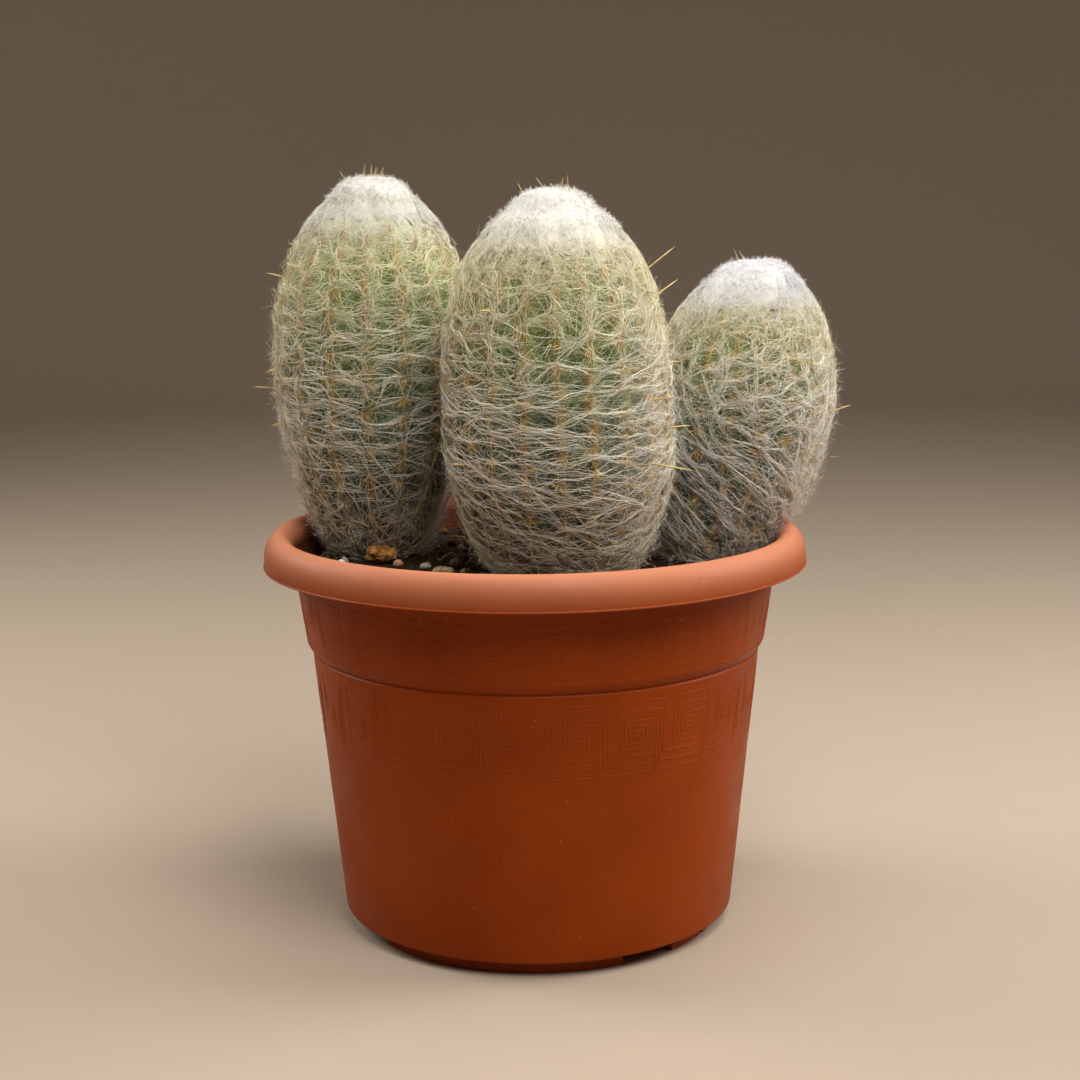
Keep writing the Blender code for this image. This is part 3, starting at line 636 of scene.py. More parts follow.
def wool_colour(tree, wool):
    """Wool colour by height: white at the crown, creamy lower down and darker and browner at the
    foot.
    """
    height, chance, _ = tone_of(tree)
    tinted = [(place, tuple(a * b for a, b in zip(colour, wool.tint)))
              for place, colour in WOOL_COLOURS]
    spread = ramp(tree, chance, ((0.0, 0.70), (0.5, 0.92), (1.0, 1.0)))
    return times(tree, ramp(tree, height, tinted), spread)


def wool_material(stem, wool):
    """Loose wool fibres with warmer tufts among them."""
    mat, tree, shader = new_material("wool_fibre_" + stem.name, 0.85, 0.2)
    varied = wool_colour(tree, wool)
    warm = ramp(tree, noise_of(tree, 260.0, 2.0), ((0.45, 0.0), (0.75, 0.25)))
    golden = times(tree, varied, (1.0, 0.91, 0.66))
    paint(tree, shader, mix(tree, warm, varied, golden))
    return mat


def crown_material(stem, wool):
    """Matted white wool with lying fibres in its surface, painted shade between them, and painted
    light and shade by height.
    """
    mat, tree, shader = new_material("wool_mat_" + stem.name, 0.95, 0.15)
    foot, low, high, top = CROWN_COUNTERLIGHT[stem.name]
    height, _, _ = tone_of(tree)
    # Painted light on the shaded foot and painted shade on the lit top, with a creamier tint at the
    # foot
    cream_and_counterlight = ramp(tree, height, ((0.90, (foot, 0.98 * foot, 0.91 * foot)),
                                (0.94, (low, 0.99 * low, 0.95 * low)),
                                (0.97, (high, high, 0.98 * high)), (1.0, (top, top, top))))
    base = times(tree, wool_colour(tree, wool), cream_and_counterlight)
    shaded = times(tree, base, (0.95, 0.95, 0.95))
    paint(tree, shader, mix(tree, fibre_mat(tree), shaded, base))
    bump(tree, shader, noise_of(tree, 1500.0, 4.0, 0.6), 0.00010, 0.4)
    return mat


def spine_material():
    """Yellow spines and areole hairs, orange at the root and paler at the tip."""
    mat, tree, shader = new_material("spine_yellow", 0.45, 0.4)
    height, chance, along = tone_of(tree)
    root = ramp(tree, chance, ((0.0, (0.42, 0.17, 0.03)), (0.5, (0.58, 0.30, 0.06)),
                               (1.0, (0.68, 0.45, 0.12))))
    tip = ramp(tree, chance, ((0.0, (0.68, 0.48, 0.12)), (1.0, (0.84, 0.70, 0.30))))
    shade = ramp(tree, height, ((0.0, 0.70), (0.25, 0.90), (0.6, 1.0)))
    colour = mix(tree, along, root, tip)
    cloudy = mix(tree, 0.25, colour, ramp(tree, noise_of(tree, 900.0, 2.0),
                                          ((0.3, (0.40, 0.22, 0.05)), (0.7, (0.80, 0.62, 0.25)))))
    paint(tree, shader, times(tree, cloudy, shade))
    return mat


def stone_material(name, dark, light, scale):
    """A weathered grain with cloudy colour and a pitted surface."""
    mat, tree, shader = new_material(name, 0.85, 0.35)
    paint(tree, shader, ramp(tree, noise_of(tree, scale, 5.0, 0.65), ((0.32, dark), (0.68, light))))
    bump(tree, shader, noise_of(tree, 2.2 * scale, 5.0, 0.7), 0.0003, 0.8)
    return mat


STONE_LOOKS = {
    "bark_chip": ((0.050, 0.018, 0.006), (0.560, 0.250, 0.055), 520.0),
    "pebble_pink": ((0.34, 0.15, 0.08), (0.60, 0.33, 0.20), 900.0),
    "pebble_grey": ((0.26, 0.21, 0.17), (0.50, 0.43, 0.36), 1200.0),
    "stone_tan": ((0.20, 0.12, 0.055), (0.46, 0.31, 0.17), 700.0),
    "pebble_olive": ((0.09, 0.075, 0.045), (0.24, 0.20, 0.13), 900.0),
    "perlite": ((0.62, 0.60, 0.56), (0.88, 0.87, 0.84), 1500.0),
}


# Stage, lights and camera

def make_camera():
    """The camera that was fitted to the photograph."""
    data = bpy.data.cameras.new("camera")
    data.lens = CAMERA_LENS
    data.sensor_width = 36.0
    data.clip_start = 0.01
    data.clip_end = 20.0
    camera = add_object("camera", data)
    tilt = Matrix.Rotation(math.pi / 2.0 - CAMERA_PITCH, 4, "X")
    roll = Matrix.Rotation(CAMERA_ROLL, 4, "Z")
    camera.matrix_world = Matrix.Translation(CAMERA_PLACE) @ tilt @ roll
    bpy.context.scene.camera = camera


def make_stage():
    """A pale floor that curves up all round."""
    profile = [(0.0, 0.0), (0.3, 0.0), (0.8, 0.0)]
    for k in range(STAGE_STEPS + 1):
        angle = 0.5 * math.pi * k / STAGE_STEPS
        profile.append((STAGE_FLAT + STAGE_CURVE * math.sin(angle),
                        STAGE_CURVE * (1.0 - math.cos(angle))))
    profile.append((STAGE_FLAT + STAGE_CURVE, STAGE_CURVE + STAGE_WALL))
    floor = add_bmesh("stage_floor", turned(profile, STAGE_SIDES))
    smooth(floor, 60.0)
    mat, tree, shader = new_material("stage_paper", 0.9, 0.2)
    darker = tuple(0.985 * c for c in STAGE_COLOUR)
    paint(tree, shader, ramp(tree, noise_of(tree, 60.0, 2.0), ((0.3, darker), (0.7, STAGE_COLOUR))))
    floor.data.materials.append(mat)


def make_lights():
    """Four soft round lights and a dim warm surround."""
    for name, (place, aim, watts, colour) in LIGHTS.items():
        data = bpy.data.lights.new(name, "AREA")
        data.shape = "DISK"
        data.size = LIGHT_SIZE
        data.energy = watts
        data.color = colour
        lamp = add_object(name, data, place)
        lamp.rotation_mode = "QUATERNION"
        lamp.rotation_quaternion = (Vector(aim) - Vector(place)).to_track_quat("-Z", "Y")
    world = bpy.data.worlds.new("studio")
    world.use_nodes = True
    back = world.node_tree.nodes["Background"]
    back.inputs["Color"].default_value = (*WORLD_COLOUR, 1.0)
    back.inputs["Strength"].default_value = WORLD_STRENGTH
    bpy.context.scene.world = world
    bpy.context.scene.view_settings.view_transform = "Standard"


# Pot

def roll_point(half, rise, degrees):
    """A point of the rolled rim's ellipse, 0 on its outer side, 90 at its crest."""
    angle = math.radians(degrees)
    centre = RIM_RADIUS - RIM_ROLL_HALF
    return (centre + half * math.cos(angle), RIM_ROLL_Z + rise * math.sin(angle))


def wall_radius(z):
    """Outer radius of the tapered wall under the groove."""
    share = (z - FOOT_HEIGHT) / (GROOVE_Z - FOOT_HEIGHT)
    return WALL_BOTTOM_RADIUS + share * (GROOVE_RADIUS - WALL_BOTTOM_RADIUS)


def band_radius(z):
    """Outer radius of the band over the groove."""
    foot = GROOVE_RADIUS + STEP_DEPTH
    share = (z - GROOVE_Z - STEP_HEIGHT) / (BAND_TOP_Z - GROOVE_Z - STEP_HEIGHT)
    return foot + share * (BAND_TOP_RADIUS - foot)


def pot_profile():
    """From the floor's middle underneath, out and up the wall, over the rim and back in."""
    floor_top = FOOT_HEIGHT + FLOOR_THICK
    step_top = GROOVE_Z + STEP_HEIGHT
    foot_inner = FOOT_OUTER - FOOT_WALL
    points = [(0.0, FOOT_HEIGHT), (FLOOR_RING, FOOT_HEIGHT), (foot_inner, FOOT_HEIGHT),
              (foot_inner, 0.0002), (foot_inner + 0.0002, 0.0),
              (FOOT_OUTER - 0.0002, 0.0), (FOOT_OUTER, 0.0002), (FOOT_OUTER, FOOT_HEIGHT)]
    for k in range(5):
        angle = 0.5 * math.pi * k / 4
        points.append((WALL_BOTTOM_RADIUS - WALL_EDGE_ROUND * (1.0 - math.sin(angle)),
                       FOOT_HEIGHT + WALL_EDGE_ROUND * (1.0 - math.cos(angle))))
    points += [(wall_radius(z), z) for z in WALL_RINGS]
    points += [(GROOVE_RADIUS - GROOVE_LINE, GROOVE_Z - 0.0001),
               (GROOVE_RADIUS - GROOVE_LINE, GROOVE_Z + 0.0002),
               (GROOVE_RADIUS + 0.0003, GROOVE_Z + 0.0006),
               (GROOVE_RADIUS + STEP_DEPTH - 0.0003, step_top - 0.0007),
               (GROOVE_RADIUS + STEP_DEPTH - 0.00008, step_top - 0.0002)]
    points += [(band_radius(z), z) for z in (step_top + 0.0004, 0.082, 0.089, BAND_TOP_Z)]
    points += [roll_point(RIM_ROLL_HALF - RIM_SHELL, RIM_ROLL_RISE - RIM_SHELL, a)
               for a in range(165, -1, -15)]
    points += [(RIM_RADIUS - RIM_SHELL, RIM_SEAM_Z), (RIM_RADIUS - 0.0002, RIM_SEAM_Z - 0.0001),
               (RIM_RADIUS + RIM_BEAD, RIM_SEAM_Z + 0.0001),
               (RIM_RADIUS + RIM_BEAD, RIM_SEAM_Z + 0.0003), (RIM_RADIUS, RIM_SEAM_Z + 0.0005)]
    points += [roll_point(RIM_ROLL_HALF, RIM_ROLL_RISE, a) for a in range(0, 181, 9)]
    points += [(band_radius(z) - WALL_THICK, z) for z in (BAND_TOP_Z, 0.085, step_top)]
    points += [(wall_radius(z) - WALL_THICK, z) for z in (GROOVE_Z, 0.050, 0.025)]
    inner = wall_radius(floor_top) - WALL_THICK
    for k in range(4):
        angle = 0.5 * math.pi * k / 3
        points.append((inner - FLOOR_EDGE_ROUND * (1.0 - math.cos(angle)),
                       floor_top + FLOOR_EDGE_ROUND * (1.0 - math.sin(angle))))
    return points + [(FLOOR_RING, floor_top), (0.0, floor_top)]


def prism(outline, low, high):
    """A closed upright prism over an outline."""
    bm = bmesh.new()
    lower = [bm.verts.new((x, y, low)) for x, y in outline]
    upper = [bm.verts.new((x, y, high)) for x, y in outline]
    bridge(bm, lower, upper)
    bm.faces.new(lower)
    bm.faces.new(upper)
    return add_bmesh("cutter", bm)


def foot_notch(start_deg, end_deg):
    """A cutter that opens one notch in the foot ring."""
    inner = FOOT_OUTER - 2.0 * FOOT_WALL
    outer = FOOT_OUTER + FOOT_WALL
    corners = []
    for share in (0.0, 0.25, 0.5, 0.75, 1.0):
        angle = math.radians(start_deg + share * (end_deg - start_deg) - 90.0)
        corners.append((math.cos(angle), math.sin(angle)))
    outline = [(inner * c, inner * s) for c, s in corners]
    outline += [(outer * c, outer * s) for c, s in reversed(corners)]
    return prism(outline, -FOOT_HEIGHT, FOOT_HEIGHT - NOTCH_WEB)


def make_pot():
    """The moulded pot, with its drain holes and the notches in its foot."""
    pot = add_bmesh("pot_shell", turned(pot_profile(), POT_SIDES))
    cutters = []
    for i in range(DRAIN_COUNT):
        angle = TURN * i / DRAIN_COUNT
        centre = (DRAIN_CIRCLE * math.cos(angle), DRAIN_CIRCLE * math.sin(angle))
        outline = [(p.x, p.y) for p in circle_points(DRAIN_RADIUS, 0.0, DRAIN_SIDES, centre)]
        cutters.append(prism(outline, 0.0, 2.0 * FOOT_HEIGHT))
    for half_turn in (0.0, 180.0):
        start = FOOT_START_DEG + half_turn
        cutters += [foot_notch(start + a, start + b) for a, b in FOOT_NOTCHES_DEG]
    cut(pot, cutters)
    pot.location.x = POT_X
    smooth(pot, 35.0)
    return pot


def offset_corners(points, widths, side):
    """The corners of a rail beside a square-cornered line, at half of each bar's width."""
    out = []
    for k, (x, z) in enumerate(points):
        before = max(0, k - 1)
        after = min(k, len(widths) - 1)
        shift = [0.0, 0.0]
        for segment in {before, after}:
            ax, az = points[segment]
            bx, bz = points[segment + 1]
            length = math.hypot(bx - ax, bz - az)
            shift[0] -= side * widths[segment] * (bz - az) / length
            shift[1] += side * widths[segment] * (bx - ax) / length
        out.append((x + shift[0], z + shift[1]))
    return out


def ridge_line(corners):
    """Points a few millimetres apart along a line with square corners."""
    line = []
    for (ax, az), (bx, bz) in zip(corners, corners[1:]):
        steps = max(1, round(math.hypot(bx - ax, bz - az) / RIDGE_STEP))
        for i in range(steps):
            share = i / steps
            line.append((ax + share * (bx - ax), az + share * (bz - az)))
    line.append(corners[-1])
    return [p for k, p in enumerate(line) if k == 0 or math.dist(p, line[k - 1]) > RIDGE_SHORTEST]


def ridge(bm, corners, start, radius_at, rise_top):
    """A low rounded ridge along a line that lies on the wall."""
    line = ridge_line(corners)
    middle_radius = radius_at(0.5 * (corners[0][1] + corners[2][1]))
    section = ((-1.0, -RIDGE_SINK), (-0.35, rise_top), (0.35, rise_top), (1.0, -RIDGE_SINK))
    rings = []
    for k, (x, z) in enumerate(line):
        ax, az = line[max(0, k - 1)]
        bx, bz = line[min(len(line) - 1, k + 1)]
        along = Vector((bx - ax, bz - az)).normalized()
        across = Vector((-along.y, along.x))
        if 0 < k < len(line) - 1:
            first = Vector((x - ax, z - az)).normalized()
            second = Vector((bx - x, bz - z)).normalized()
            across /= max(0.7, math.cos(0.5 * first.angle(second)))
        ring = []
        for out, rise in section:
            px = x + out * RIDGE_HALF * across.x
            pz = z + out * RIDGE_HALF * across.y
            angle = start + px / middle_radius
            radius = radius_at(pz) + rise
            ring.append(bm.verts.new((radius * math.sin(angle), -radius * math.cos(angle), pz)))
        rings.append(ring)
    for ring_a, ring_b in zip(rings, rings[1:]):
        bridge(bm, ring_a, ring_b)
    bm.faces.new(rings[0])
    bm.faces.new(rings[-1])


def make_key_relief():
    """Raised rails of the key pattern, on the wall and on the band."""
    bm = bmesh.new()
    for points, start, radius_at, rise in (
            (KEY_LOWER, KEY_LOWER_START, wall_radius, RIDGE_RISE[0]),
            (KEY_UPPER, KEY_UPPER_START, band_radius, RIDGE_RISE[1])):
        for unit in range(KEY_UNITS):
            for side in (-1.0, 0.0, 1.0):
                corners = offset_corners(points, KEY_WIDTHS, side)
                ridge(bm, corners, start + TURN * unit / KEY_UNITS, radius_at, rise)
    relief = add_bmesh("key_relief", bm, (POT_X, 0.0, 0.0))
    smooth(relief, 60.0)
    return relief


# Soil and stones

def soil_wall_radius(z):
    """Radius just inside the pot's wall."""
    outside = wall_radius(z) if z <= GROOVE_Z else band_radius(z)
    return outside - WALL_THICK - SOIL_WALL_GAP


def soil_surface(x, y):
    """Crumbly surface, calm under the stones."""
    place = Vector((x, y, 0.0))
    rise = sum(share * noise.noise(place * scale) for share, scale in SOIL_NOISE)
    calm = 1.0
    for stone in STONES:
        reach = 0.5 * max(stone.size[0], stone.size[1]) + SOIL_CALM
        calm = min(calm, max(0.0, math.hypot(x - stone.x, y - stone.y) / reach - 0.8))
    return SOIL_Z + 1.3 * SOIL_BUMP * rise * min(1.0, calm)


def make_soil():
    """The bed that fills the pot, with holes for the stems' pegs."""
    floor = FOOT_HEIGHT + FLOOR_THICK + CLEARANCE
    bm = bmesh.new()
    sides = [(soil_wall_radius(floor) - FLOOR_EDGE_ROUND, floor),
             (soil_wall_radius(floor), floor + FLOOR_EDGE_ROUND),
             (soil_wall_radius(GROOVE_Z), GROOVE_Z),
             (soil_wall_radius(GROOVE_Z + STEP_HEIGHT), GROOVE_Z + STEP_HEIGHT)]
    rings = [[bm.verts.new(p) for p in circle_points(r, z, SOIL_SIDES)] for r, z in sides]
    edge = soil_wall_radius(SOIL_Z - SOIL_BUMP) - CLEARANCE
    for k in range(SOIL_RINGS):
        radius = edge * (1.0 - k / SOIL_RINGS)
        rings.append([bm.verts.new((p.x, p.y, soil_surface(p.x, p.y)))
                      for p in circle_points(radius, 0.0, SOIL_SIDES)])
    for ring_a, ring_b in zip(rings, rings[1:]):
        bridge(bm, ring_a, ring_b)
    fan(bm, rings[-1], bm.verts.new((0.0, 0.0, soil_surface(0.0, 0.0))))
    bm.faces.new(rings[0])
    bed = add_bmesh("soil_bed", bm)
    pegs = []
    for stem in STEMS:
        outline = [(p.x, p.y) for p in
                   circle_points(PEG_RADIUS + CLEARANCE, 0.0, 2 * stem.ribs, (stem.x, stem.y))]
        pegs.append(prism(outline, SOIL_Z - PEG_DEPTH - CLEARANCE, SOIL_Z + PEG_DEPTH))
    cut(bed, pegs)
    bed.location.x = POT_X
    smooth(bed, 70.0)
    rng = np.random.default_rng(4)
    point_tone(bed, rng.uniform(0.0, 0.5, (len(bed.data.vertices), 3)))
    return bed


def is_free(x, y, size, limit):
    """True where something of this size stays off the wall, the stems and the stones."""
    if math.hypot(x, y) > limit - 0.5 * size:
        return False
    if any(math.hypot(x - stem.x, y - stem.y) < FOOT_ROOM + size for stem in STEMS):
        return False
    return all(math.hypot(x - stone.x, y - stone.y) >= 0.45 * max(stone.size) + size
               for stone in STONES)


def make_crumbs():
    """Loose crumbs and grains, each partly sunk in the bed."""
    rng = np.random.default_rng(14)
    ball = bmesh.new()
    bmesh.ops.create_icosphere(ball, subdivisions=1, radius=0.5)
    shape = np.array([v.co[:] for v in ball.verts])
    faces = np.array([[v.index for v in f.verts] for f in ball.faces])
    ball.free()
    verts = []
    tris = []
    tones = []
    limit = soil_wall_radius(SOIL_Z) - CRUMB_EDGE
    while len(verts) < CRUMBS:
        x, y = rng.uniform(-limit, limit, 2)
        size = 0.0007 + 0.0022 * rng.random() ** 3
        if not is_free(x, y, size, limit):
            continue
        stretch = rng.uniform(0.6, 1.3, 3) * size
        lump = shape * stretch * rng.uniform(0.8, 1.2, (len(shape), 1))
        turn = Matrix.Rotation(rng.uniform(0.0, TURN), 3, "Z") @ Matrix.Rotation(
            rng.uniform(-0.6, 0.6), 3, "X")
        lump = lump @ np.array(turn).T + (x, y, soil_surface(x, y) + 0.12 * size)
        tris.append(faces + len(verts) * len(shape))
        verts.append(lump)
        tones.append(np.tile(rng.random(3), (len(shape), 1)))
    crumbs = add_mesh("soil_crumbs", np.concatenate(verts), np.concatenate(tris),
                      (POT_X, 0.0, 0.0))
    point_tone(crumbs, np.concatenate(tones))
    smooth(crumbs, 50.0)
    return crumbs


def make_litter():
    """Splinters of bark and thin roots that lie on the soil, with one root that arches up."""
    rng = np.random.default_rng(31)
    hairs = Hairs()
    limit = soil_wall_radius(SOIL_Z) - LITTER_EDGE
    paths = []
    while len(paths) < LITTER:
        x, y = rng.uniform(-limit, limit, 2)
        length = rng.uniform(0.0014, 0.0050)
        if not is_free(x, y, length, limit):
            continue
        lean = rng.uniform(0.0, TURN)
        bend = rng.normal(0.0, 0.5) * length
        path = []
        for step in (-0.5, -0.25, 0.0, 0.25, 0.5):
            run = step * length
            aside = bend * step ** 2
            px = x + run * math.cos(lean) - aside * math.sin(lean)
            py = y + run * math.sin(lean) + aside * math.cos(lean)
            path.append((POT_X + px, py, soil_surface(px, py) + rng.uniform(0.0002, 0.0006)))
        paths.append(path)
    hairs.add(np.array(paths), rng.uniform(0.00020, 0.00065, LITTER), (0.0, 0.0, 1.0), 0.0,
              rng.uniform(0.45, 0.95, LITTER))
    for points, width, chance in SET_LITTER:
        path = np.array(points) + (POT_X, 0.0, SOIL_Z)
        hairs.add(path[None], width, (0.3, 1.0, 0.2), 0.0, chance)
    return hairs.build("soil_litter")


def make_stone(stone):
    """The same faceted grain as in the solids, worn and pitted."""
    rng = random.Random(stone.seed)
    bm = bmesh.new()
    bmesh.ops.create_icosphere(bm, subdivisions=2, radius=0.5)
    for v in bm.verts:
        v.co *= 1.0 + rng.uniform(-0.10, 0.10)
        v.co.x *= stone.size[0]
        v.co.y *= stone.size[1]
        v.co.z *= stone.size[2]
    lowest = min(v.co.z for v in bm.verts)
    bmesh.ops.subdivide_edges(bm, edges=bm.edges, cuts=2, use_grid_fill=True)
    size = max(stone.size)
    rough = BARK_PITS if stone.slot == "bark" else 1.0
    for v in bm.verts:
        away = v.co.normalized()
        pits = noise.noise(v.co * (5.0 / size)) + 0.5 * noise.noise(v.co * (13.0 / size))
        v.co += away * pits * PITS * rough * size
        v.co.z = max(v.co.z, lowest)
    place = (POT_X + stone.x, stone.y, SOIL_Z + CLEARANCE - lowest)
    obj = add_bmesh(stone.name + "_grain", bm, place)
    smooth(obj, 38.0)
    return obj


# Stem and wool surfaces, in arrays

def column_radius(stem, h, shrink=0.0, lower_top=0.0):
    """Radius of the swollen column at heights h over the soil."""
    first, second = stem.lower
    share = np.clip((stem.widest - h) / (stem.widest - stem.low), 0.0, 1.0)
    below = stem.radius * (1.0 - share ** first) ** (1.0 / second) - shrink
    first, second = stem.upper
    top = stem.top - lower_top
    share = np.clip((h - stem.widest) / (top - stem.widest), 0.0, 1.0)
    above = (stem.radius - shrink) * (1.0 - share ** first) ** (1.0 / second)
    width, height, power = stem.knob
    share = np.clip((h - top + height) / height, 0.0, 1.0)
    knob = (width - shrink) * (1.0 - share ** power) ** (1.0 / power) * (share > 0.0)
    return np.where(h < stem.widest, below, np.maximum(above, knob))


def axis_points(stem, h):
    """Middle of the column at heights h, from the stem's foot."""
    bend = 1.0 - np.maximum(0.0, 1.0 - np.maximum(0.0, h) / SWAY_HEIGHT) ** 2
    return np.stack((stem.lean * h + stem.sway[0] * bend, stem.sway[1] * bend, h), axis=-1)


def lip_room(stem, h, angle, inset):
    """How far the stem may swell towards an angle before it meets the pot's rim."""
    limit = LIP_LIMIT + LIP_LIMIT_SLOPE * np.maximum(0.0, SOIL_Z + h - LIP_LIMIT_Z) - inset
    middle = axis_points(stem, h)
    cx = stem.x + middle[..., 0]
    cy = stem.y + middle[..., 1]
    along = cx * np.cos(angle) + cy * np.sin(angle)
    return -along + np.sqrt(np.maximum(0.0, along ** 2 + limit ** 2 - cx ** 2 - cy ** 2))


def column_outline(stem, shrink, lower_top):
    """Radius and height at equal steps along a column's outline, foot to crown."""
    top = stem.top - lower_top
    h = top * (1.0 - (1.0 - np.linspace(0.0, 1.0, OUTLINE_SAMPLES)) ** 2.4)
    r = column_radius(stem, h, shrink, lower_top)
    run = np.concatenate(([0.0], np.cumsum(np.hypot(np.diff(h), np.diff(r)))))
    even = np.linspace(0.0, 1.0, OUTLINE_POINTS)
    return np.interp(even, run / run[-1], r), np.interp(even, run / run[-1], h), run[-1]


class Coat:
    """The room between a stem's green body and the outside of its wool.

    A place is an angle, a share along the outline from foot to crown, and a depth that is 0 on
    the rib crests and 1 on the wool's outside.
    """

    def __init__(self, stem):
        self.stem = stem
        self.even = np.linspace(0.0, 1.0, OUTLINE_POINTS)
        self.wool_r, self.wool_h, self.run = column_outline(stem, 0.0, 0.0)
        self.body_r, self.body_h, _ = column_outline(stem, WOOL_DEPTH, CROWN_THICK)
        low = self.share_at(AREOLES_FROM)
        high = self.share_at(1.0 - AREOLES_IN_CROWN * stem.crown / stem.top)
        rows = int((high - low) * self.run / FINE_PITCH)
        self.areole_low = low
        self.areole_step = (high - low) / rows
        self.areole_odd = np.repeat(np.arange(stem.ribs) % 2 == 1, rows)
        self.areoles = self.areole_places(low, high, rows)

    def radius(self, share):
        """Radius of the wool's outside, never quite zero."""
        return np.maximum(0.003, np.interp(share, self.even, self.wool_r))

    def height_share(self, share):
        """Height over the soil as a share of the stem's."""
        return np.interp(share, self.even, self.wool_h) / self.stem.top

    def share_at(self, height_share):
        """Share along the outline at a height share."""
        return np.interp(height_share * self.stem.top, self.wool_h, self.even)

    def at(self, angle, share, depth, valley=0.0):
        """World places on or in the coat; valley sinks a point under the crest's height."""
        share = np.clip(share, 0.0, 1.0)
        r = (1.0 - depth) * np.interp(share, self.even, self.body_r)
        r = r + depth * np.interp(share, self.even, self.wool_r) - valley
        h = (1.0 - depth) * np.interp(share, self.even, self.body_h)
        h = h + depth * np.interp(share, self.even, self.wool_h)
        inset = (1.0 - depth) * WOOL_DEPTH + valley - LIP_TOUCH * np.clip(depth, 0.0, 1.0)
        r = np.minimum(r, lip_room(self.stem, h, angle, inset))
        place = axis_points(self.stem, h)
        place[..., 0] += r * np.cos(angle) + POT_X + self.stem.x
        place[..., 1] += r * np.sin(angle) + self.stem.y
        place[..., 2] += SOIL_Z
        return place

    def outward(self, angle, share):
        """Unit vectors out of the surface."""
        across = self.at(angle + 0.02, share, 1.0) - self.at(angle - 0.02, share, 1.0)
        up = self.at(angle, share + 0.004, 1.0) - self.at(angle, share - 0.004, 1.0)
        normal = np.cross(across, up)
        length = np.linalg.norm(normal, axis=-1, keepdims=True)
        flat = np.stack((np.cos(angle), np.sin(angle), 0.0 * angle), axis=-1)
        return np.where(length > 1e-12, normal / np.maximum(length, 1e-12), flat)

    def areole_places(self, low, high, rows):
        """Angles and shares of the fine areoles, staggered from rib to rib."""
        rng = np.random.default_rng(self.stem.seed + 5)
        places = []
        for i in range(self.stem.ribs):
            for k in range(rows):
                step = (k + 0.5 * (i % 2) + rng.uniform(-0.12, 0.12)) / rows
                turn = rng.uniform(-0.03, 0.03)
                places.append((TURN * i / self.stem.ribs + turn, low + (high - low) * step))
        return np.array(places)

    def gather(self, angle, share, pull, tilt):
        """Draws places into strings one areole apart, which wander round the stem."""
        front = (angle - 0.5 * math.pi) % TURN - math.pi
        wander = 0.40 * np.sin(1.7 * front + self.stem.seed) + 0.22 * np.sin(
            4.1 * front + 14.0 * share)
        droop = 0.14 * np.cos(angle * self.stem.ribs)
        slide = tilt * front * self.stem.radius / self.run
        rows = (share + slide) / self.areole_step + wander - droop
        return share - pull * self.areole_step / TURN * np.sin(TURN * rows)

    def part(self, angle, share, wool):
        """Bends hairs round the middles of the windows, so that the green shows there."""
        sway = 0.14 * np.sin(2.3 * angle + 31.0 * share + self.stem.seed)
        column = angle * self.stem.ribs / TURN + sway
        row = (share - self.areole_low) / self.areole_step + sway
        if wool.ring_place > 0.0:
            across = 2.0 * (column % 1.0) - 1.0
            up = 2.0 * ((row - 0.25) % 1.0) - 1.0
        else:
            rib = np.round(column)
            across = 2.0 * (column - rib)
            row = row - 0.5 * (rib % 2.0)
            up = 2.0 * (row - np.round(row))
        far = np.clip(np.hypot(across, up), 0.05, 1.0)
        strength = np.interp(self.height_share(share), *zip(*wool.windows))
        push = far ** -strength - 1.0
        angle = angle + 0.5 * push * across * TURN / self.stem.ribs
        return angle, share + 0.5 * push * up * self.areole_step

    def walk(self, angle, share, heading, bend, length, points):
        """Paths over the surface, with a steady bend, as angles, shares and headings."""
        step = length / (points - 1)
        angles = [angle]
        shares = [share]
        ways = [heading]
        for _ in range(points - 1):
            heading = heading + bend * step
            angle = angle + np.cos(heading) * step / self.radius(share)
            share = np.clip(share + np.sin(heading) * step / self.run, 0.005, 0.995)
            angles.append(angle)
            shares.append(share)
            ways.append(heading)
        return np.stack(angles, -1), np.stack(shares, -1), np.stack(ways, -1)


def clear_of_pot(points):
    """Lifts wool that would sink into the rim or the soil."""
    centre = RIM_RADIUS - RIM_ROLL_HALF
    half = RIM_ROLL_HALF + RIM_AIR
    crest = RIM_ROLL_RISE + RIM_AIR
    x = points[..., 0] - POT_X
    y = points[..., 1]
    z = points[..., 2]
    radius = np.hypot(x, y)
    dr = (radius - RIM_RADIUS + RIM_ROLL_HALF) / half
    dz = (z - RIM_ROLL_Z) / crest
    inside = np.hypot(dr, dz) < 1.0
    dz = np.where(inside, np.maximum(dz, 0.15), dz)
    deep = np.where(inside, np.maximum(np.hypot(dr, dz), 1e-6), 1.0)
    new_radius = centre + dr / deep * half
    scale = np.where(inside, new_radius / np.maximum(radius, 1e-6), 1.0)
    lifted = np.where(inside, RIM_ROLL_Z + dz / deep * crest, z)
    return np.stack((POT_X + x * scale, y * scale, np.maximum(lifted, SOIL_Z + LOWEST_HAIR)), -1)


def unit(vectors):
    """Each vector at length one."""
    return vectors / np.maximum(np.linalg.norm(vectors, axis=-1, keepdims=True), 1e-12)


def surface_frame(coat, angle, share):
    """Outward, sideways and upward unit vectors."""
    out = coat.outward(angle, np.minimum(share, 0.985))
    across = np.stack((-np.sin(angle), np.cos(angle), 0.0 * angle), -1)
    return out, across, np.cross(out, across)


def any_way(rng, across, up):
    """A random direction in the surface for each place."""
    lean = rng.uniform(0.0, TURN, len(up))[:, None]
    return np.cos(lean) * across + np.sin(lean) * up


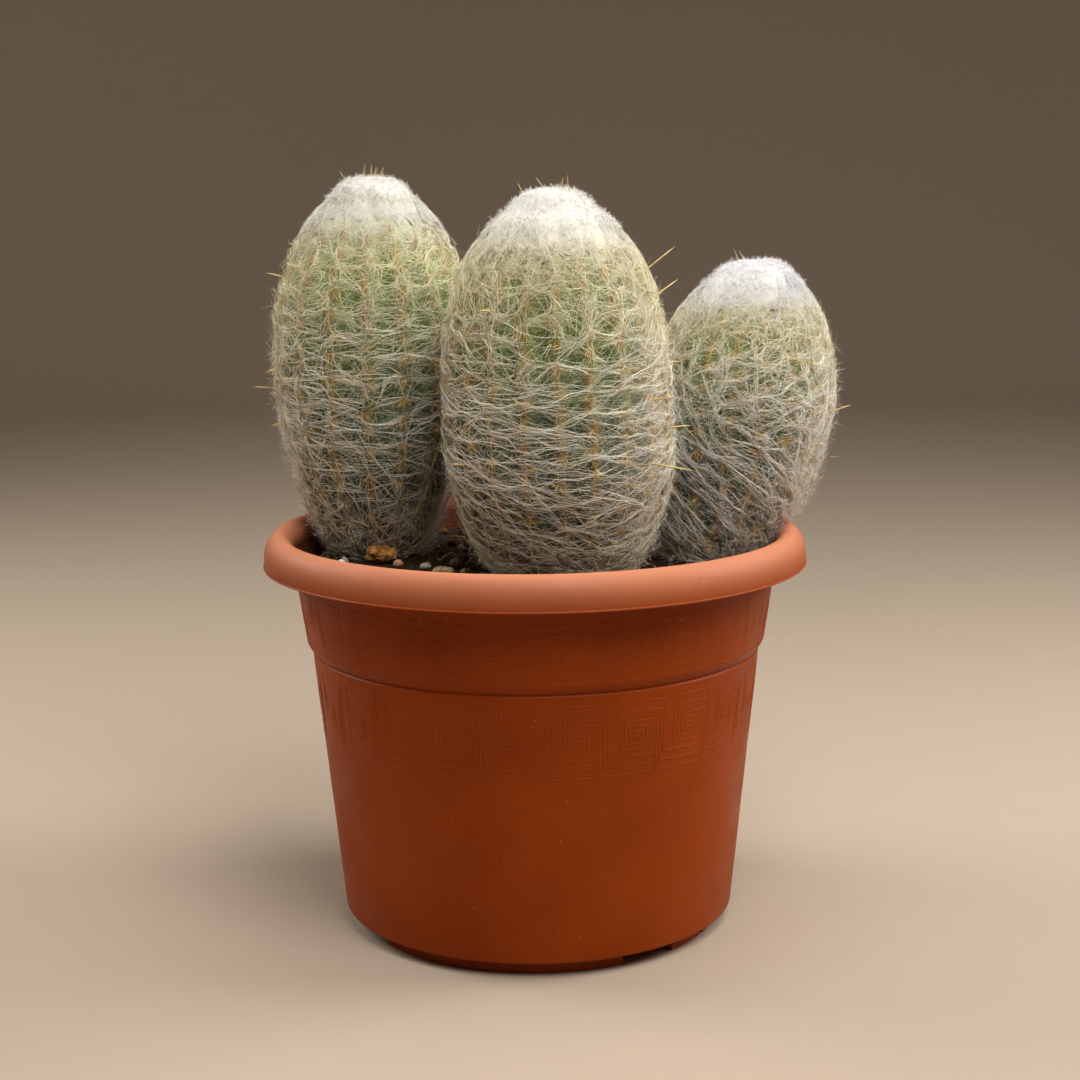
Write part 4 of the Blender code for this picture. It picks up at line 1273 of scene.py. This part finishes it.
def hair_mesh(paths, widths, away):
    """Closed three-sided hairs along paths, pointed at both ends.

    paths is hairs x points x 3, widths one width a hair, away a vector across each hair.
    """
    count, points, _ = paths.shape
    inner = points - 2
    along = unit(paths[:, 2:] - paths[:, :-2])
    side = unit(np.cross(along, away[:, None, :]))
    other = np.cross(along, side)
    share = np.linspace(0.0, 1.0, points)[1:-1]
    taper = 0.62 + 0.38 * np.sin(math.pi * share)
    half = 0.58 * widths[:, None] * taper[None, :]
    rings = []
    for i in range(3):
        angle = TURN * i / 3.0
        rings.append(paths[:, 1:-1] + half[..., None] * (math.cos(angle) * side
                                                         + math.sin(angle) * other))
    rings = np.stack(rings, axis=2).reshape(count, inner * 3, 3)
    verts = np.concatenate((paths[:, :1], rings, paths[:, -1:]), axis=1)
    size = inner * 3 + 2
    last = size - 4
    tris = []
    for i in range(3):
        j = (i + 1) % 3
        tris.append((0, 1 + j, 1 + i))
        for a in range(1, last, 3):
            tris.append((a + i, a + j, a + 3 + j))
            tris.append((a + i, a + 3 + j, a + 3 + i))
        tris.append((last + i, last + j, size - 1))
    faces = np.array(tris)[None] + (np.arange(count) * size)[:, None, None]
    along_share = np.concatenate(([0.0], np.repeat(share, 3), [1.0]))
    return verts, faces.reshape(-1, 3), along_share


class Hairs:
    """Collects hairs of any length into one mesh."""

    def __init__(self):
        self.verts = []
        self.faces = []
        self.tones = []
        self.count = 0

    def add(self, paths, widths, away, height, chance):
        """Adds hairs along paths; the other values are one for all or one for each hair."""
        number = len(paths)
        away = np.broadcast_to(away, (number, 3))
        verts, faces, along = hair_mesh(clear_of_pot(paths), np.broadcast_to(widths, number), away)
        tone = np.empty(verts.shape)
        tone[..., 0] = np.broadcast_to(height, number)[:, None]
        tone[..., 1] = np.broadcast_to(chance, number)[:, None]
        tone[..., 2] = along[None, :]
        self.verts.append(verts.reshape(-1, 3))
        self.faces.append(faces + self.count)
        self.tones.append(tone.reshape(-1, 3))
        self.count += verts.shape[0] * verts.shape[1]

    def build(self, name):
        """The mesh of all hairs, with their shares for the materials."""
        obj = add_mesh(name, np.concatenate(self.verts), np.concatenate(self.faces))
        point_tone(obj, np.concatenate(self.tones))
        return obj


# Stems

def make_body(coat, wool):
    """Ribbed green column with a swelling at each areole, a collar and a peg."""
    stem = coat.stem
    sides = stem.ribs * BODY_STEPS
    angle = TURN * np.arange(sides) / sides
    low = coat.share_at(0.012)
    share = low + (0.997 - low) * np.linspace(0.0, 1.0, BODY_ROWS)
    angle, share = np.meshgrid(angle, share)
    height = coat.height_share(share) * stem.top
    fade = np.clip(np.minimum(height / 0.015, (stem.top - height) / 0.020), 0.0, 1.0)
    wave = 0.5 - 0.5 * np.cos(angle * stem.ribs)
    valley = RIB_DEPTH * fade * wave ** 1.25
    swell = np.zeros_like(angle)
    for place_angle, place_share in coat.areoles:
        turn = (angle - place_angle + math.pi) % TURN - math.pi
        miss = np.hypot(turn * coat.radius(share), (share - place_share) * coat.run)
        swell = np.maximum(swell, np.exp(-(miss / AREOLE_HALF) ** 2))
    ripple = 0.00022 * np.sin(share * coat.run / 0.0028 * TURN + 3.0 * np.cos(angle * 5.0))
    rows = [coat.at(angle, share, 0.0 * angle, valley - AREOLE_SWELL * swell + ripple * fade)]
    foot = Vector((POT_X + stem.x, stem.y, SOIL_Z))
    for z in (COLLAR_HEIGHT * 0.5, -PEG_DEPTH + CLEARANCE):
        ring = np.stack((foot.x + PEG_RADIUS * np.cos(angle[0]),
                         foot.y + PEG_RADIUS * np.sin(angle[0]), foot.z + z + 0.0 * angle[0]), -1)
        rows.insert(0, ring[None])
    grid = np.concatenate(rows).reshape(-1, 3)
    top = coat.at(np.zeros(1), np.ones(1), np.zeros(1))
    bottom = np.array([[foot.x, foot.y, foot.z - PEG_DEPTH + CLEARANCE]])
    tip = len(grid)
    faces = []
    for quads in ring_quads(0, tip // sides, sides):
        faces += [quads[:, (0, 1, 2)], quads[:, (0, 2, 3)]]
    faces += [cap_tris(tip - sides, sides, tip), cap_tris(0, sides, tip + 1)[:, (1, 0, 2)]]
    body = add_mesh("stem_%s_body" % stem.name, np.concatenate((grid, top, bottom)),
                    np.concatenate(faces))
    aside = (angle - math.radians(wool.veil[0]) + math.pi) % TURN - math.pi
    felted = 2.0 * wool.veil[1] * np.exp(-(aside / FELTED_WIDTH) ** 2)
    tone = np.zeros((tip + 2, 3))
    column = tone[2 * sides:tip]
    column[:, 0] = coat.height_share(share).ravel()
    column[:, 1] = np.clip(felted, 0.0, 0.85).ravel()
    column[:, 2] = np.clip(1.3 * swell, 0.0, 1.0).ravel()
    tone[tip, 0] = 1.0
    point_tone(body, tone)
    return body


def add_brushes(rng, coat, hairs):
    """Orange-yellow brushes that stand on the areoles."""
    angle = np.repeat(coat.areoles[:, 0], BRUSH_HAIRS)
    share = np.repeat(coat.areoles[:, 1], BRUSH_HAIRS)
    tall = coat.height_share(share)
    upper = tall > 0.75
    n = len(angle)
    radius = coat.radius(share)
    angle = angle + rng.normal(0.0, 0.00045, n) / radius
    share = share + rng.normal(0.0, 0.00065, n) / coat.run
    lean = rng.normal(-1.50, 0.55, n) + np.where(rng.random(n) < 0.25, math.pi, 0.0)
    reach = rng.uniform(0.0024, 0.0056, n) * np.where(upper, 0.60, 1.0)
    rise = rng.uniform(0.15, 0.75, n) * np.where(upper, 0.7, 1.0)
    paths = []
    for step in (0.0, 0.38, 0.72, 1.0):
        run = reach * step * (0.35 + 0.65 * step)
        depth = 0.10 + rise * (1.0 - (1.0 - step) ** 2) * 0.95
        paths.append(coat.at(angle + np.cos(lean) * run / radius,
                             share + np.sin(lean) * run / coat.run, depth))
    hairs.add(np.stack(paths, 1), rng.uniform(0.00012, 0.00019, n), coat.outward(angle, share),
              tall, rng.random(n))


def add_thin_spines(rng, coat, hairs):
    """Thin spines on the lower areoles."""
    lower = coat.areoles[coat.height_share(coat.areoles[:, 1]) < 0.80]
    angle = np.repeat(lower[:, 0], THIN_SPINES)
    share = np.repeat(lower[:, 1], THIN_SPINES)
    n = len(angle)
    out, across, up = surface_frame(coat, angle, share)
    flat = any_way(rng, across, up)
    reach = rng.uniform(0.0030, 0.0062, n)
    swing = rng.uniform(0.35, 1.25, n)[:, None]
    ways = unit(out * np.cos(swing) + flat * np.sin(swing))
    root = coat.at(angle, share, 0.05 + 0.0 * angle)
    steps = np.array((0.0, 0.5, 1.0))
    paths = root[:, None] + ways[:, None] * (reach[:, None] * steps)[..., None]
    hairs.add(paths, rng.uniform(0.00014, 0.00020, n), flat, coat.height_share(share),
              rng.random(n))


def even_heights(stem, low, high, pitch):
    """Heights at equal steps along the column's outline, as in the solids."""
    hs = np.linspace(low, high, 401)
    radius = column_radius(stem, hs)
    run = np.concatenate(([0.0], np.cumsum(np.hypot(np.diff(hs), np.diff(radius)))))
    steps = max(2, round(run[-1] / pitch))
    return np.interp(np.linspace(0.0, run[-1], steps + 1), run, hs)


def spine_direction(stem, h, azimuth, elevation):
    """Outward, kept near the surface's own normal."""
    step = 0.001
    fall = float(column_radius(stem, h - step) - column_radius(stem, h + step))
    tilt = math.atan2(fall, 2.0 * step)
    elevation = min(tilt + SPINE_SWING, max(tilt - SPINE_SWING, elevation))
    return np.array((math.cos(azimuth) * math.cos(elevation),
                     math.sin(azimuth) * math.cos(elevation), math.sin(elevation)))


def is_clear(stem, point):
    """True where a spine's tip stays out of the other stems."""
    for other in STEMS:
        if other is stem or point[2] > other.top:
            continue
        middle = axis_points(other, point[2])
        apart = math.hypot(stem.x + point[0] - other.x - middle[0],
                           stem.y + point[1] - other.y - middle[1])
        if apart < float(column_radius(other, point[2])) + SPINE_AIR:
            return False
    return True


def cell_of(stem, rows, azimuth, height):
    """The net's cell nearest to a direction: rib and row numbers with an even sum."""
    best = None
    for k in range(1, len(rows) - 1):
        for i in range(stem.ribs):
            if (i + k) % 2:
                continue
            turn = math.remainder(azimuth - TURN * i / stem.ribs, TURN)
            miss = math.hypot(turn * stem.radius, rows[k] - height)
            if best is None or miss < best[0]:
                best = (miss, i, k)
    return best[1], best[2]


def long_spines(stem):
    """Paths of the long spines, where the solids have them."""
    dice = random.Random(stem.seed)
    rows = even_heights(stem, NET_FOOT, stem.top - stem.crown, AREOLE_PITCH)
    wanted = [(math.radians(a), h, length, math.radians(e)) for a, h, length, e in stem.spines]
    golden = math.pi * (3.0 - math.sqrt(5.0))
    for i in range(SPINES_PER_STEM):
        height = rows[1] + (rows[-2] - rows[1]) * (i + 0.5) / SPINES_PER_STEM
        wanted.append((stem.seed + i * golden, height, dice.uniform(0.0055, 0.0080),
                       math.radians(dice.uniform(-12.0, 30.0))))
    taken = set()
    paths = []
    for azimuth, height, length, elevation in wanted:
        cell = cell_of(stem, rows, azimuth, height)
        turn = TURN * cell[0] / stem.ribs
        h = rows[cell[1]]
        r = min(float(column_radius(stem, h, WOOL_DEPTH, CROWN_THICK)),
                float(lip_room(stem, h, turn, WOOL_DEPTH)))
        root = axis_points(stem, h) + r * np.array((math.cos(turn), math.sin(turn), 0.0))
        way = spine_direction(stem, h, turn, elevation)
        if cell in taken or root[2] < SPINE_LOWEST or not is_clear(stem, root + way * length):
            continue
        taken.add(cell)
        base = root + np.array((POT_X + stem.x, stem.y, SOIL_Z))
        side = np.cross(way, (0.0, 0.0, 1.0))
        steps = np.array((-0.0012, 0.0, 0.35 * length, 0.7 * length, length))
        bow = 0.04 * length * np.sin(math.pi * np.clip(steps / length, 0.0, 1.0))
        paths.append(base + steps[:, None] * way + bow[:, None] * side)
    return np.array(paths)


def cap_spines(rng, coat):
    """Paths of the thin spines that stand out of the crown."""
    stem = coat.stem
    paths = []
    for _ in range(CAP_SPINES[stem.name]):
        turn = rng.uniform(0.0, TURN)
        share = 1.0 - rng.uniform(0.02, 0.55) * stem.crown / stem.top
        root = coat.at(np.array(turn), np.array(share), np.array(0.6))
        tilt = rng.normal(0.0, 0.22, 2)
        way = np.array((0.35 * math.cos(turn) + tilt[0], 0.35 * math.sin(turn) + tilt[1], 1.0))
        steps = rng.uniform(0.0040, 0.0060) * np.array((-0.1, 0.2, 0.5, 0.8, 1.0))
        paths.append(root + steps[:, None] * way / np.linalg.norm(way))
    return np.array(paths)


def make_areoles(coat):
    """The brushes and spines of one stem."""
    rng = np.random.default_rng(coat.stem.seed + 6)
    hairs = Hairs()
    add_brushes(rng, coat, hairs)
    add_thin_spines(rng, coat, hairs)
    hairs.add(cap_spines(rng, coat), CAP_SPINE_WIDTH, (0.0, 0.1, 1.0), 0.8, 0.9)
    hairs.add(long_spines(coat.stem), LONG_SPINE_WIDTH, (0.0, 0.1, 1.0), 0.8, 0.95)
    return hairs.build("stem_%s_areoles" % coat.stem.name)


# Wool

def band_value(wool, height, column):
    """One column of the stem's bands at each height."""
    return np.interp(height, [b[0] for b in wool.bands], [b[column] for b in wool.bands])


def headings(rng, wool, angle, height):
    """A growing direction for each place, from the stem's bands."""
    sag = wool.sag * np.cos(angle) * np.clip((0.45 - height) / 0.3, 0.0, 1.0)
    flip = np.where(rng.random(len(angle)) < 0.5, math.pi, 0.0)
    middle = band_value(wool, height, 1)
    return np.radians(rng.normal(middle, band_value(wool, height, 2))) + sag + flip


def pick_areoles(rng, coat, count, weights):
    """Areoles that strands start from, chosen by their height."""
    weight = np.interp(coat.height_share(coat.areoles[:, 1]), *zip(*weights))
    return rng.choice(len(coat.areoles), size=count, p=weight / weight.sum())


def string_levels(rng, count, strands, depth, spread):
    """A depth for each string, and for each strand a little beside it."""
    return rng.uniform(*depth, (count, 1, 1)) + rng.normal(0.0, spread, (count, strands, 1))


def string_chance(rng, count, strands, low, own):
    """A colour share for each string, partly each strand's own."""
    shared = np.repeat(rng.uniform(low, 1.0, count), strands) * (1.0 - own)
    return np.clip(shared + rng.random(count * strands) * own, 0.0, 1.0)


def lay_strands(rng, coat, hairs, turn, rise, depth, width, chance):
    """Adds strands given by their angles, shares and depths, a row for each strand."""
    middle = turn.shape[1] // 2
    paths = coat.at(turn, rise, depth)
    away = coat.outward(turn[:, middle], rise[:, middle])
    hairs.add(paths, rng.uniform(*width, len(paths)), away, coat.height_share(rise.mean(1)),
              chance)


def add_links(rng, coat, wool, hairs, strands, points, width):
    """Strings of a few hairs that tie each areole to its neighbours, round the green windows."""
    count = wool.links
    pick = pick_areoles(rng, coat, count, wool.ties)
    angle = coat.areoles[pick, 0]
    share = coat.areoles[pick, 1]
    ribs = rng.choice(LINK_RIBS, size=count, p=LINK_ODDS)
    slope = np.where(coat.areole_odd[pick], -0.5, 0.5)
    slope = np.where(rng.random(count) < 0.20, -slope, slope)
    slope = np.where(np.abs(ribs) > 1.5, 0.0, slope)
    across = ribs * TURN / coat.stem.ribs * rng.uniform(0.80, 1.20, count)
    climb = slope * coat.areole_step
    steps = np.linspace(0.0, 1.0, points)
    hump = 4.0 * steps * (1.0 - steps)
    wild = np.interp(coat.height_share(share), (0.4, 0.75), (0.6, 1.5))
    bulge = rng.normal(-0.45, 0.9, count) * 0.0009 * wild * np.abs(ribs)
    skew = rng.normal(0.0, 0.0005, count) * wild
    start_a = angle + rng.normal(0.0, 0.0005, count) / SIDE_RADIUS
    start_s = share + rng.normal(0.0, 0.0006, count) / coat.run
    curl = np.cumsum(rng.normal(0.0, 0.00032, (2, count, strands, points)), axis=3)
    curl = curl * wild[:, None, None]
    turn = start_a[:, None] + across[:, None] * steps + skew[:, None] * hump / SIDE_RADIUS
    rise = start_s[:, None] + climb[:, None] * steps + bulge[:, None] * hump / coat.run
    stretch = rng.uniform(0.75, 1.12, (count, strands, 1))
    turn = turn[:, None, :1] + (turn[:, None] - turn[:, None, :1]) * stretch
    rise = rise[:, None, :1] + (rise[:, None] - rise[:, None, :1]) * stretch
    turn = (turn + curl[0] / SIDE_RADIUS).reshape(-1, points)
    rise = (rise + curl[1] / coat.run).reshape(-1, points)
    level = string_levels(rng, count, strands, (0.35, 0.85), 0.10)
    depth = np.clip(level * (0.55 + 0.5 * hump), 0.10, 1.05).reshape(-1, points)
    turn, rise = coat.part(turn, rise, wool)
    chance = string_chance(rng, count, strands, 0.1, 0.3)
    lay_strands(rng, coat, hairs, turn, np.clip(rise, 0.01, 0.99), depth, width, chance)


def add_rings(rng, coat, wool, hairs, strands, points, width):
    """Strings that curve round the green windows in a stem's upper part."""
    count = wool.rings
    pick = pick_areoles(rng, coat, count, RING_WEIGHTS)
    middle_a = coat.areoles[pick, 0] + wool.ring_place * TURN / coat.stem.ribs
    lift = np.where(coat.areole_odd[pick], 0.25, 0.75) * (wool.ring_place > 0.0)
    middle_s = coat.areoles[pick, 1] + lift * coat.areole_step
    wide = rng.normal(0.46, 0.05, count) * TURN / coat.stem.ribs * np.where(
        rng.random(count) < 0.3, 1.25, 1.0)
    high = rng.normal(0.52, 0.06, count) * coat.areole_step
    first = rng.uniform(0.0, TURN, count)
    swept = rng.uniform(1.1, 2.6, count) * rng.choice((-1.0, 1.0), count)
    steps = np.linspace(0.0, 1.0, points)
    around = first[:, None, None] + swept[:, None, None] * steps * rng.uniform(
        0.75, 1.15, (count, strands, 1))
    curl = np.cumsum(rng.normal(0.0, 0.00030, (2, count, strands, points)), axis=3)
    turn = middle_a[:, None, None] + wide[:, None, None] * np.cos(around) + curl[0] / SIDE_RADIUS
    rise = middle_s[:, None, None] + high[:, None, None] * np.sin(around) + curl[1] / coat.run
    level = string_levels(rng, count, strands, (0.45, 0.90), 0.10)
    depth = np.clip(level * (0.7 + 0.3 * np.sin(math.pi * steps)), 0.15, 1.05)
    chance = string_chance(rng, count, strands, 0.4, 0.3)
    lay_strands(rng, coat, hairs, turn.reshape(-1, points),
                np.clip(rise.reshape(-1, points), 0.01, 0.985), depth.reshape(-1, points),
                width, chance)


def add_bundles(rng, coat, wool, hairs, count, strands, points, depth, width, fray):
    """Strands that leave an areole together, lie over the net and part towards the end."""
    pick = pick_areoles(rng, coat, count, BUNDLE_WEIGHTS)
    angle = coat.areoles[pick, 0] + rng.normal(0.0, 0.0009, count) / SIDE_RADIUS
    share = coat.areoles[pick, 1] + rng.normal(0.0, 0.0013, count) / coat.run
    height = coat.height_share(share)
    bend = rng.normal(0.0, 1.0, count) * band_value(wool, height, 3)
    length = rng.uniform(*wool.reach, count) * np.where(height > 0.78, 0.7, 1.0)
    heading = headings(rng, wool, angle, height) - 0.5 * bend * length
    angles, shares, ways = coat.walk(angle, share, heading, bend, length, points)
    steps = np.linspace(0.0, 1.0, points)
    opening = 0.35 + 0.65 * np.abs(steps - 0.3) / 0.7
    aside = rng.normal(0.0, fray, (count, strands, 1)) * opening
    aside = aside + rng.normal(0.0, 0.00028, (count, strands, points))
    slide = rng.normal(0.0, 0.12, (count, strands, 1))
    stretch = rng.uniform(0.75, 1.15, (count, strands, 1))
    turned_by = (angles - angles[:, :1])[:, None, :]
    climbed = (shares - shares[:, :1])[:, None, :]
    back = angles[:, None, :1] + turned_by * stretch + slide * turned_by[..., -1:]
    lift = shares[:, None, :1] + climbed * stretch + slide * climbed[..., -1:]
    turn = back - np.sin(ways[:, None, :]) * aside / coat.radius(lift)
    rise = lift + np.cos(ways[:, None, :]) * aside / coat.run
    level = string_levels(rng, count, strands, depth, 0.08)
    level = level * (0.55 + 0.45 * np.sin(math.pi * np.minimum(1.0, 0.22 + steps)))
    turn = turn.reshape(-1, points)
    rise = rise.reshape(-1, points)
    if strands > 1:
        pull = np.interp(np.repeat(height, strands), *zip(*wool.pull))[:, None]
        rise = coat.gather(turn, rise, pull, wool.tilt)
    turn, rise = coat.part(turn, rise, wool)
    chance = string_chance(rng, count, strands, 0.0, 0.4)
    lay_strands(rng, coat, hairs, turn, np.clip(rise, 0.01, 0.995),
                np.clip(level.reshape(-1, points), 0.1, 1.10), width, chance)


def add_felt(rng, coat, wool, hairs, points, reach, depth, width):
    """Short fine hairs near the skin, thinner in the green windows between the ribs."""
    stem = coat.stem
    tries = 3 * wool.felt
    angle = rng.uniform(0.0, TURN, tries)
    share = rng.uniform(0.01, 0.97, tries)
    height = coat.height_share(share)
    valley = 0.5 - 0.5 * np.cos(angle * stem.ribs)
    keep = np.interp(height, *zip(*FELT_WEIGHTS))
    keep = keep * (1.0 - 0.35 * valley) * coat.radius(share) / stem.radius
    chosen = np.flatnonzero(rng.random(tries) < keep)[:wool.felt]
    angle = angle[chosen]
    share = share[chosen]
    height = height[chosen]
    n = len(chosen)
    flip = np.where(rng.random(n) < 0.5, math.pi, 0.0)
    bend = rng.normal(0.0, 210.0, n)
    length = rng.uniform(*reach, n)
    scatter = rng.normal(0.0, np.interp(height, *zip(*FELT_SCATTER)))
    heading = np.radians(scatter) + flip - 0.5 * bend * length
    angles, shares, _ = coat.walk(angle, share, heading, bend, length, points)
    angles, shares = coat.part(angles, shares, wool)
    level = rng.uniform(*depth, (n, 1)) * (1.0 - 0.6 * valley[chosen])[:, None]
    level = np.clip(level + rng.normal(0.0, 0.05, (n, points)), 0.02, 1.1)
    sunk = RIB_DEPTH * 0.65 * (0.5 - 0.5 * np.cos(angles * stem.ribs)) * (1.0 - level)
    paths = coat.at(angles, shares, level, sunk * np.clip((0.8 - height) / 0.2, 0.0, 1.0)[:, None])
    away = coat.outward(angle, share)
    hairs.add(paths, rng.uniform(*width, n), away, height, rng.random(n))


def make_net(coat, wool):
    """Strings and wound strands over a thin mat of fine hairs."""
    rng = np.random.default_rng(coat.stem.seed + 7)
    hairs = Hairs()
    add_links(rng, coat, wool, hairs, strands=2, points=6, width=(0.00008, 0.00013))
    add_rings(rng, coat, wool, hairs, strands=2, points=6, width=(0.00009, 0.00014))
    add_bundles(rng, coat, wool, hairs, count=wool.winds, strands=wool.strands,
                points=wool.points, depth=(0.70, 1.0), width=(0.00008, 0.00013), fray=0.00022)
    add_bundles(rng, coat, wool, hairs, count=wool.loose, strands=1, points=4,
                depth=(0.3, 1.0), width=(0.00006, 0.00010), fray=0.0020)
    add_felt(rng, coat, wool, hairs, points=4, reach=(0.004, 0.009), depth=(0.05, 0.60),
             width=(0.00005, 0.00009))
    return hairs.build("wool_%s_net" % coat.stem.name)


def stand_fluff(rng, coat, hairs, count, low, high, reach, lift, width, veil):
    """Short hairs that stand off the wool's outside, or lie over it where the lift is low."""
    aside = rng.normal(math.radians(veil[0]), 0.50, count)
    angle = np.where(rng.random(count) < veil[1], aside, rng.uniform(0.0, TURN, count))
    share = high - (high - low) * np.sqrt(rng.random(count))
    out, across, up = surface_frame(coat, angle, share)
    flat = any_way(rng, across, up)
    length = rng.uniform(*reach, count)[:, None]
    swing = np.arccos(np.clip(rng.normal(lift, 0.25, (count, 1)), 0.0, 1.0))
    way = out * np.cos(swing) + flat * np.sin(swing)
    bend = np.cross(out, flat) * rng.normal(0.0, 0.5, (count, 1))
    root = coat.at(angle, share, rng.uniform(0.65, 0.98, count))
    middle = root + way * 0.5 * length
    tip = middle + unit(0.8 * way + 0.2 * flat + bend) * 0.5 * length
    hairs.add(np.stack((root, middle, tip), 1), rng.uniform(*width, count), flat,
              coat.height_share(share), 0.7 + 0.3 * rng.random(count))


def lying_fluff(rng, coat, hairs, count, low, reach, zone):
    """Curled hairs that lie over each other in a zone of the crown, and thin out below it."""
    angle = rng.uniform(0.0, TURN, count)
    spread = zone[0] + (zone[1] - zone[0]) * np.sqrt(rng.random(count)) * rng.uniform(
        0.4, 1.0, count)
    share = 1.0 - (1.0 - low) * spread
    root = coat.at(angle, share, rng.uniform(0.90, 1.00, count))
    out, across, up = surface_frame(coat, angle, share)
    flat = any_way(rng, across, up)
    side = np.cross(out, flat)
    length = rng.uniform(*reach, count)[:, None]
    bend = rng.normal(0.0, 0.45, (count, 1))
    rise = rng.normal(0.02, 0.07, (count, 1))
    paths = [root]
    for step in (0.33, 0.67, 1.0):
        paths.append(root + length * (step * flat + bend * step ** 2 * side + rise * step * out
                                      - 0.12 * step ** 2 * out))
    hairs.add(np.stack(paths, 1), rng.uniform(0.00005, 0.00008, count), out,
              coat.height_share(share), 0.6 + 0.4 * rng.random(count))


def make_fuzz(coat, wool):
    """Fine fluff that veils the wool, thick on the crown."""
    rng = np.random.default_rng(coat.stem.seed + 8)
    hairs = Hairs()
    edge = coat.share_at(1.0 - wool.cap / coat.stem.top)
    lying_fluff(rng, coat, hairs, count=600, low=edge, reach=(0.0016, 0.0036), zone=(0.0, 1.0))
    lying_fluff(rng, coat, hairs, count=1900, low=edge, reach=(0.0026, 0.0054), zone=(0.80, 2.00))
    stand_fluff(rng, coat, hairs, count=4600, low=edge, high=1.0, reach=(0.0008, 0.0021),
                lift=0.62, width=(0.00006, 0.00010), veil=wool.veil)
    stand_fluff(rng, coat, hairs, count=4400, low=0.02, high=edge, reach=(0.0024, 0.0052),
                lift=0.16, width=(0.00004, 0.00007), veil=wool.veil)
    stand_fluff(rng, coat, hairs, count=900, low=0.0, high=0.14, reach=(0.0030, 0.0056),
                lift=0.40, width=(0.00006, 0.00010), veil=(0.0, 0.0))
    return hairs.build("wool_%s_fuzz" % coat.stem.name)


def crown_lumps(coat, angle, share):
    """Lumps of the matted wool at each point of the crown."""
    lumps = np.zeros_like(angle)
    for k, i in np.ndindex(angle.shape):
        a = angle[k, i]
        s = share[k, i]
        place = Vector((math.cos(a) * coat.radius(s), math.sin(a) * coat.radius(s), s * coat.run))
        lumps[k, i] = noise.noise(place * 330.0) + 0.6 * noise.noise(place * 800.0)
    return lumps


def make_crown(coat, wool):
    """The matted pad of white wool over the growing point, closed on its underside."""
    stem = coat.stem
    sides = CROWN_SIDES
    low = coat.share_at(1.0 - 1.15 * wool.cap / stem.top)
    angle, climb = np.meshgrid(TURN * np.arange(sides) / sides, np.linspace(0.0, 1.0, CROWN_ROWS))
    ragged = np.array([noise.noise(Vector((2.2 * math.cos(a), 2.2 * math.sin(a), stem.seed)))
                       + 0.8 * noise.noise(Vector((9.0 * math.cos(a), 9.0 * math.sin(a), 3.0)))
                       for a in angle[0]])
    foot = low + (1.0 - low) * 0.35 * ragged
    share = foot + (0.995 - foot) * climb
    lumps = crown_lumps(coat, angle, share)
    rise = np.sin(0.5 * math.pi * np.clip((share - foot) / (0.32 * (1.0 - low)), 0.0, 1.0))
    outer = coat.at(angle, share, 0.97 * rise - 0.04 + 0.06 * lumps * rise)
    inner = coat.at(angle, share, -0.10 + 0.0 * angle)
    tops = [coat.at(np.zeros(1), np.ones(1), np.full(1, depth)) for depth in (0.90, -0.10)]
    verts = np.concatenate((outer.reshape(-1, 3), inner.reshape(-1, 3), *tops))
    half = CROWN_ROWS * sides
    i = np.arange(sides)
    j = (i + 1) % sides
    quads = np.concatenate(ring_quads(0, CROWN_ROWS, sides)
                           + [q[:, ::-1] for q in ring_quads(half, CROWN_ROWS, sides)]
                           + [np.stack((half + i, half + j, j, i), -1)])
    cap = cap_tris(half - sides, sides, 2 * half)
    under = cap_tris(2 * half - sides, sides, 2 * half + 1)[:, (1, 0, 2)]
    pad = add_mesh("wool_%s_crown" % stem.name, verts,
                   np.concatenate((quads[:, (0, 1, 2)], quads[:, (0, 2, 3)], cap, under)))
    tone = np.ones((len(verts), 3))
    tone[:2 * half, 0] = np.tile(coat.height_share(share).ravel(), 2)
    point_tone(pad, tone)
    return pad


def make_stem(stem, spine):
    """One stem's pieces: body, areoles, net, fuzz and crown."""
    wool = WOOLS[stem.name]
    coat = Coat(stem)
    fibre = wool_material(stem, wool)
    finish_piece(make_body(coat, wool), skin_material(stem), "green_skin", "stem_" + stem.name)
    finish_piece(make_areoles(coat), spine, "wool")
    finish_piece(make_net(coat, wool), fibre, "wool", "wool_" + stem.name)
    finish_piece(make_fuzz(coat, wool), fibre, "wool")
    finish_piece(make_crown(coat, wool), crown_material(stem, wool), "wool")


def main():
    """Builds the stage, the pot with its soil and stones, and the stems."""
    make_camera()
    make_stage()
    make_lights()
    finish_piece(make_pot(), plastic_material("terracotta_plastic", 0.0), "pot_plastic", "pot")
    # The rails are drawn a little towards the painted sheen colour, a painted highlight on the key
    # pattern
    finish_piece(make_key_relief(), plastic_material("terracotta_rail_sheen", 0.022),
                 "pot_plastic")
    earth = soil_material()
    finish_piece(make_soil(), earth, "soil", "soil")
    finish_piece(make_crumbs(), earth, "soil")
    finish_piece(make_litter(), earth, "soil")
    for stone in STONES:
        mat = stone_material(stone.name + "_skin", *STONE_LOOKS[stone.name])
        finish_piece(make_stone(stone), mat, stone.slot, stone.name)
    spine = spine_material()
    for stem in STEMS:
        make_stem(stem, spine)


main()
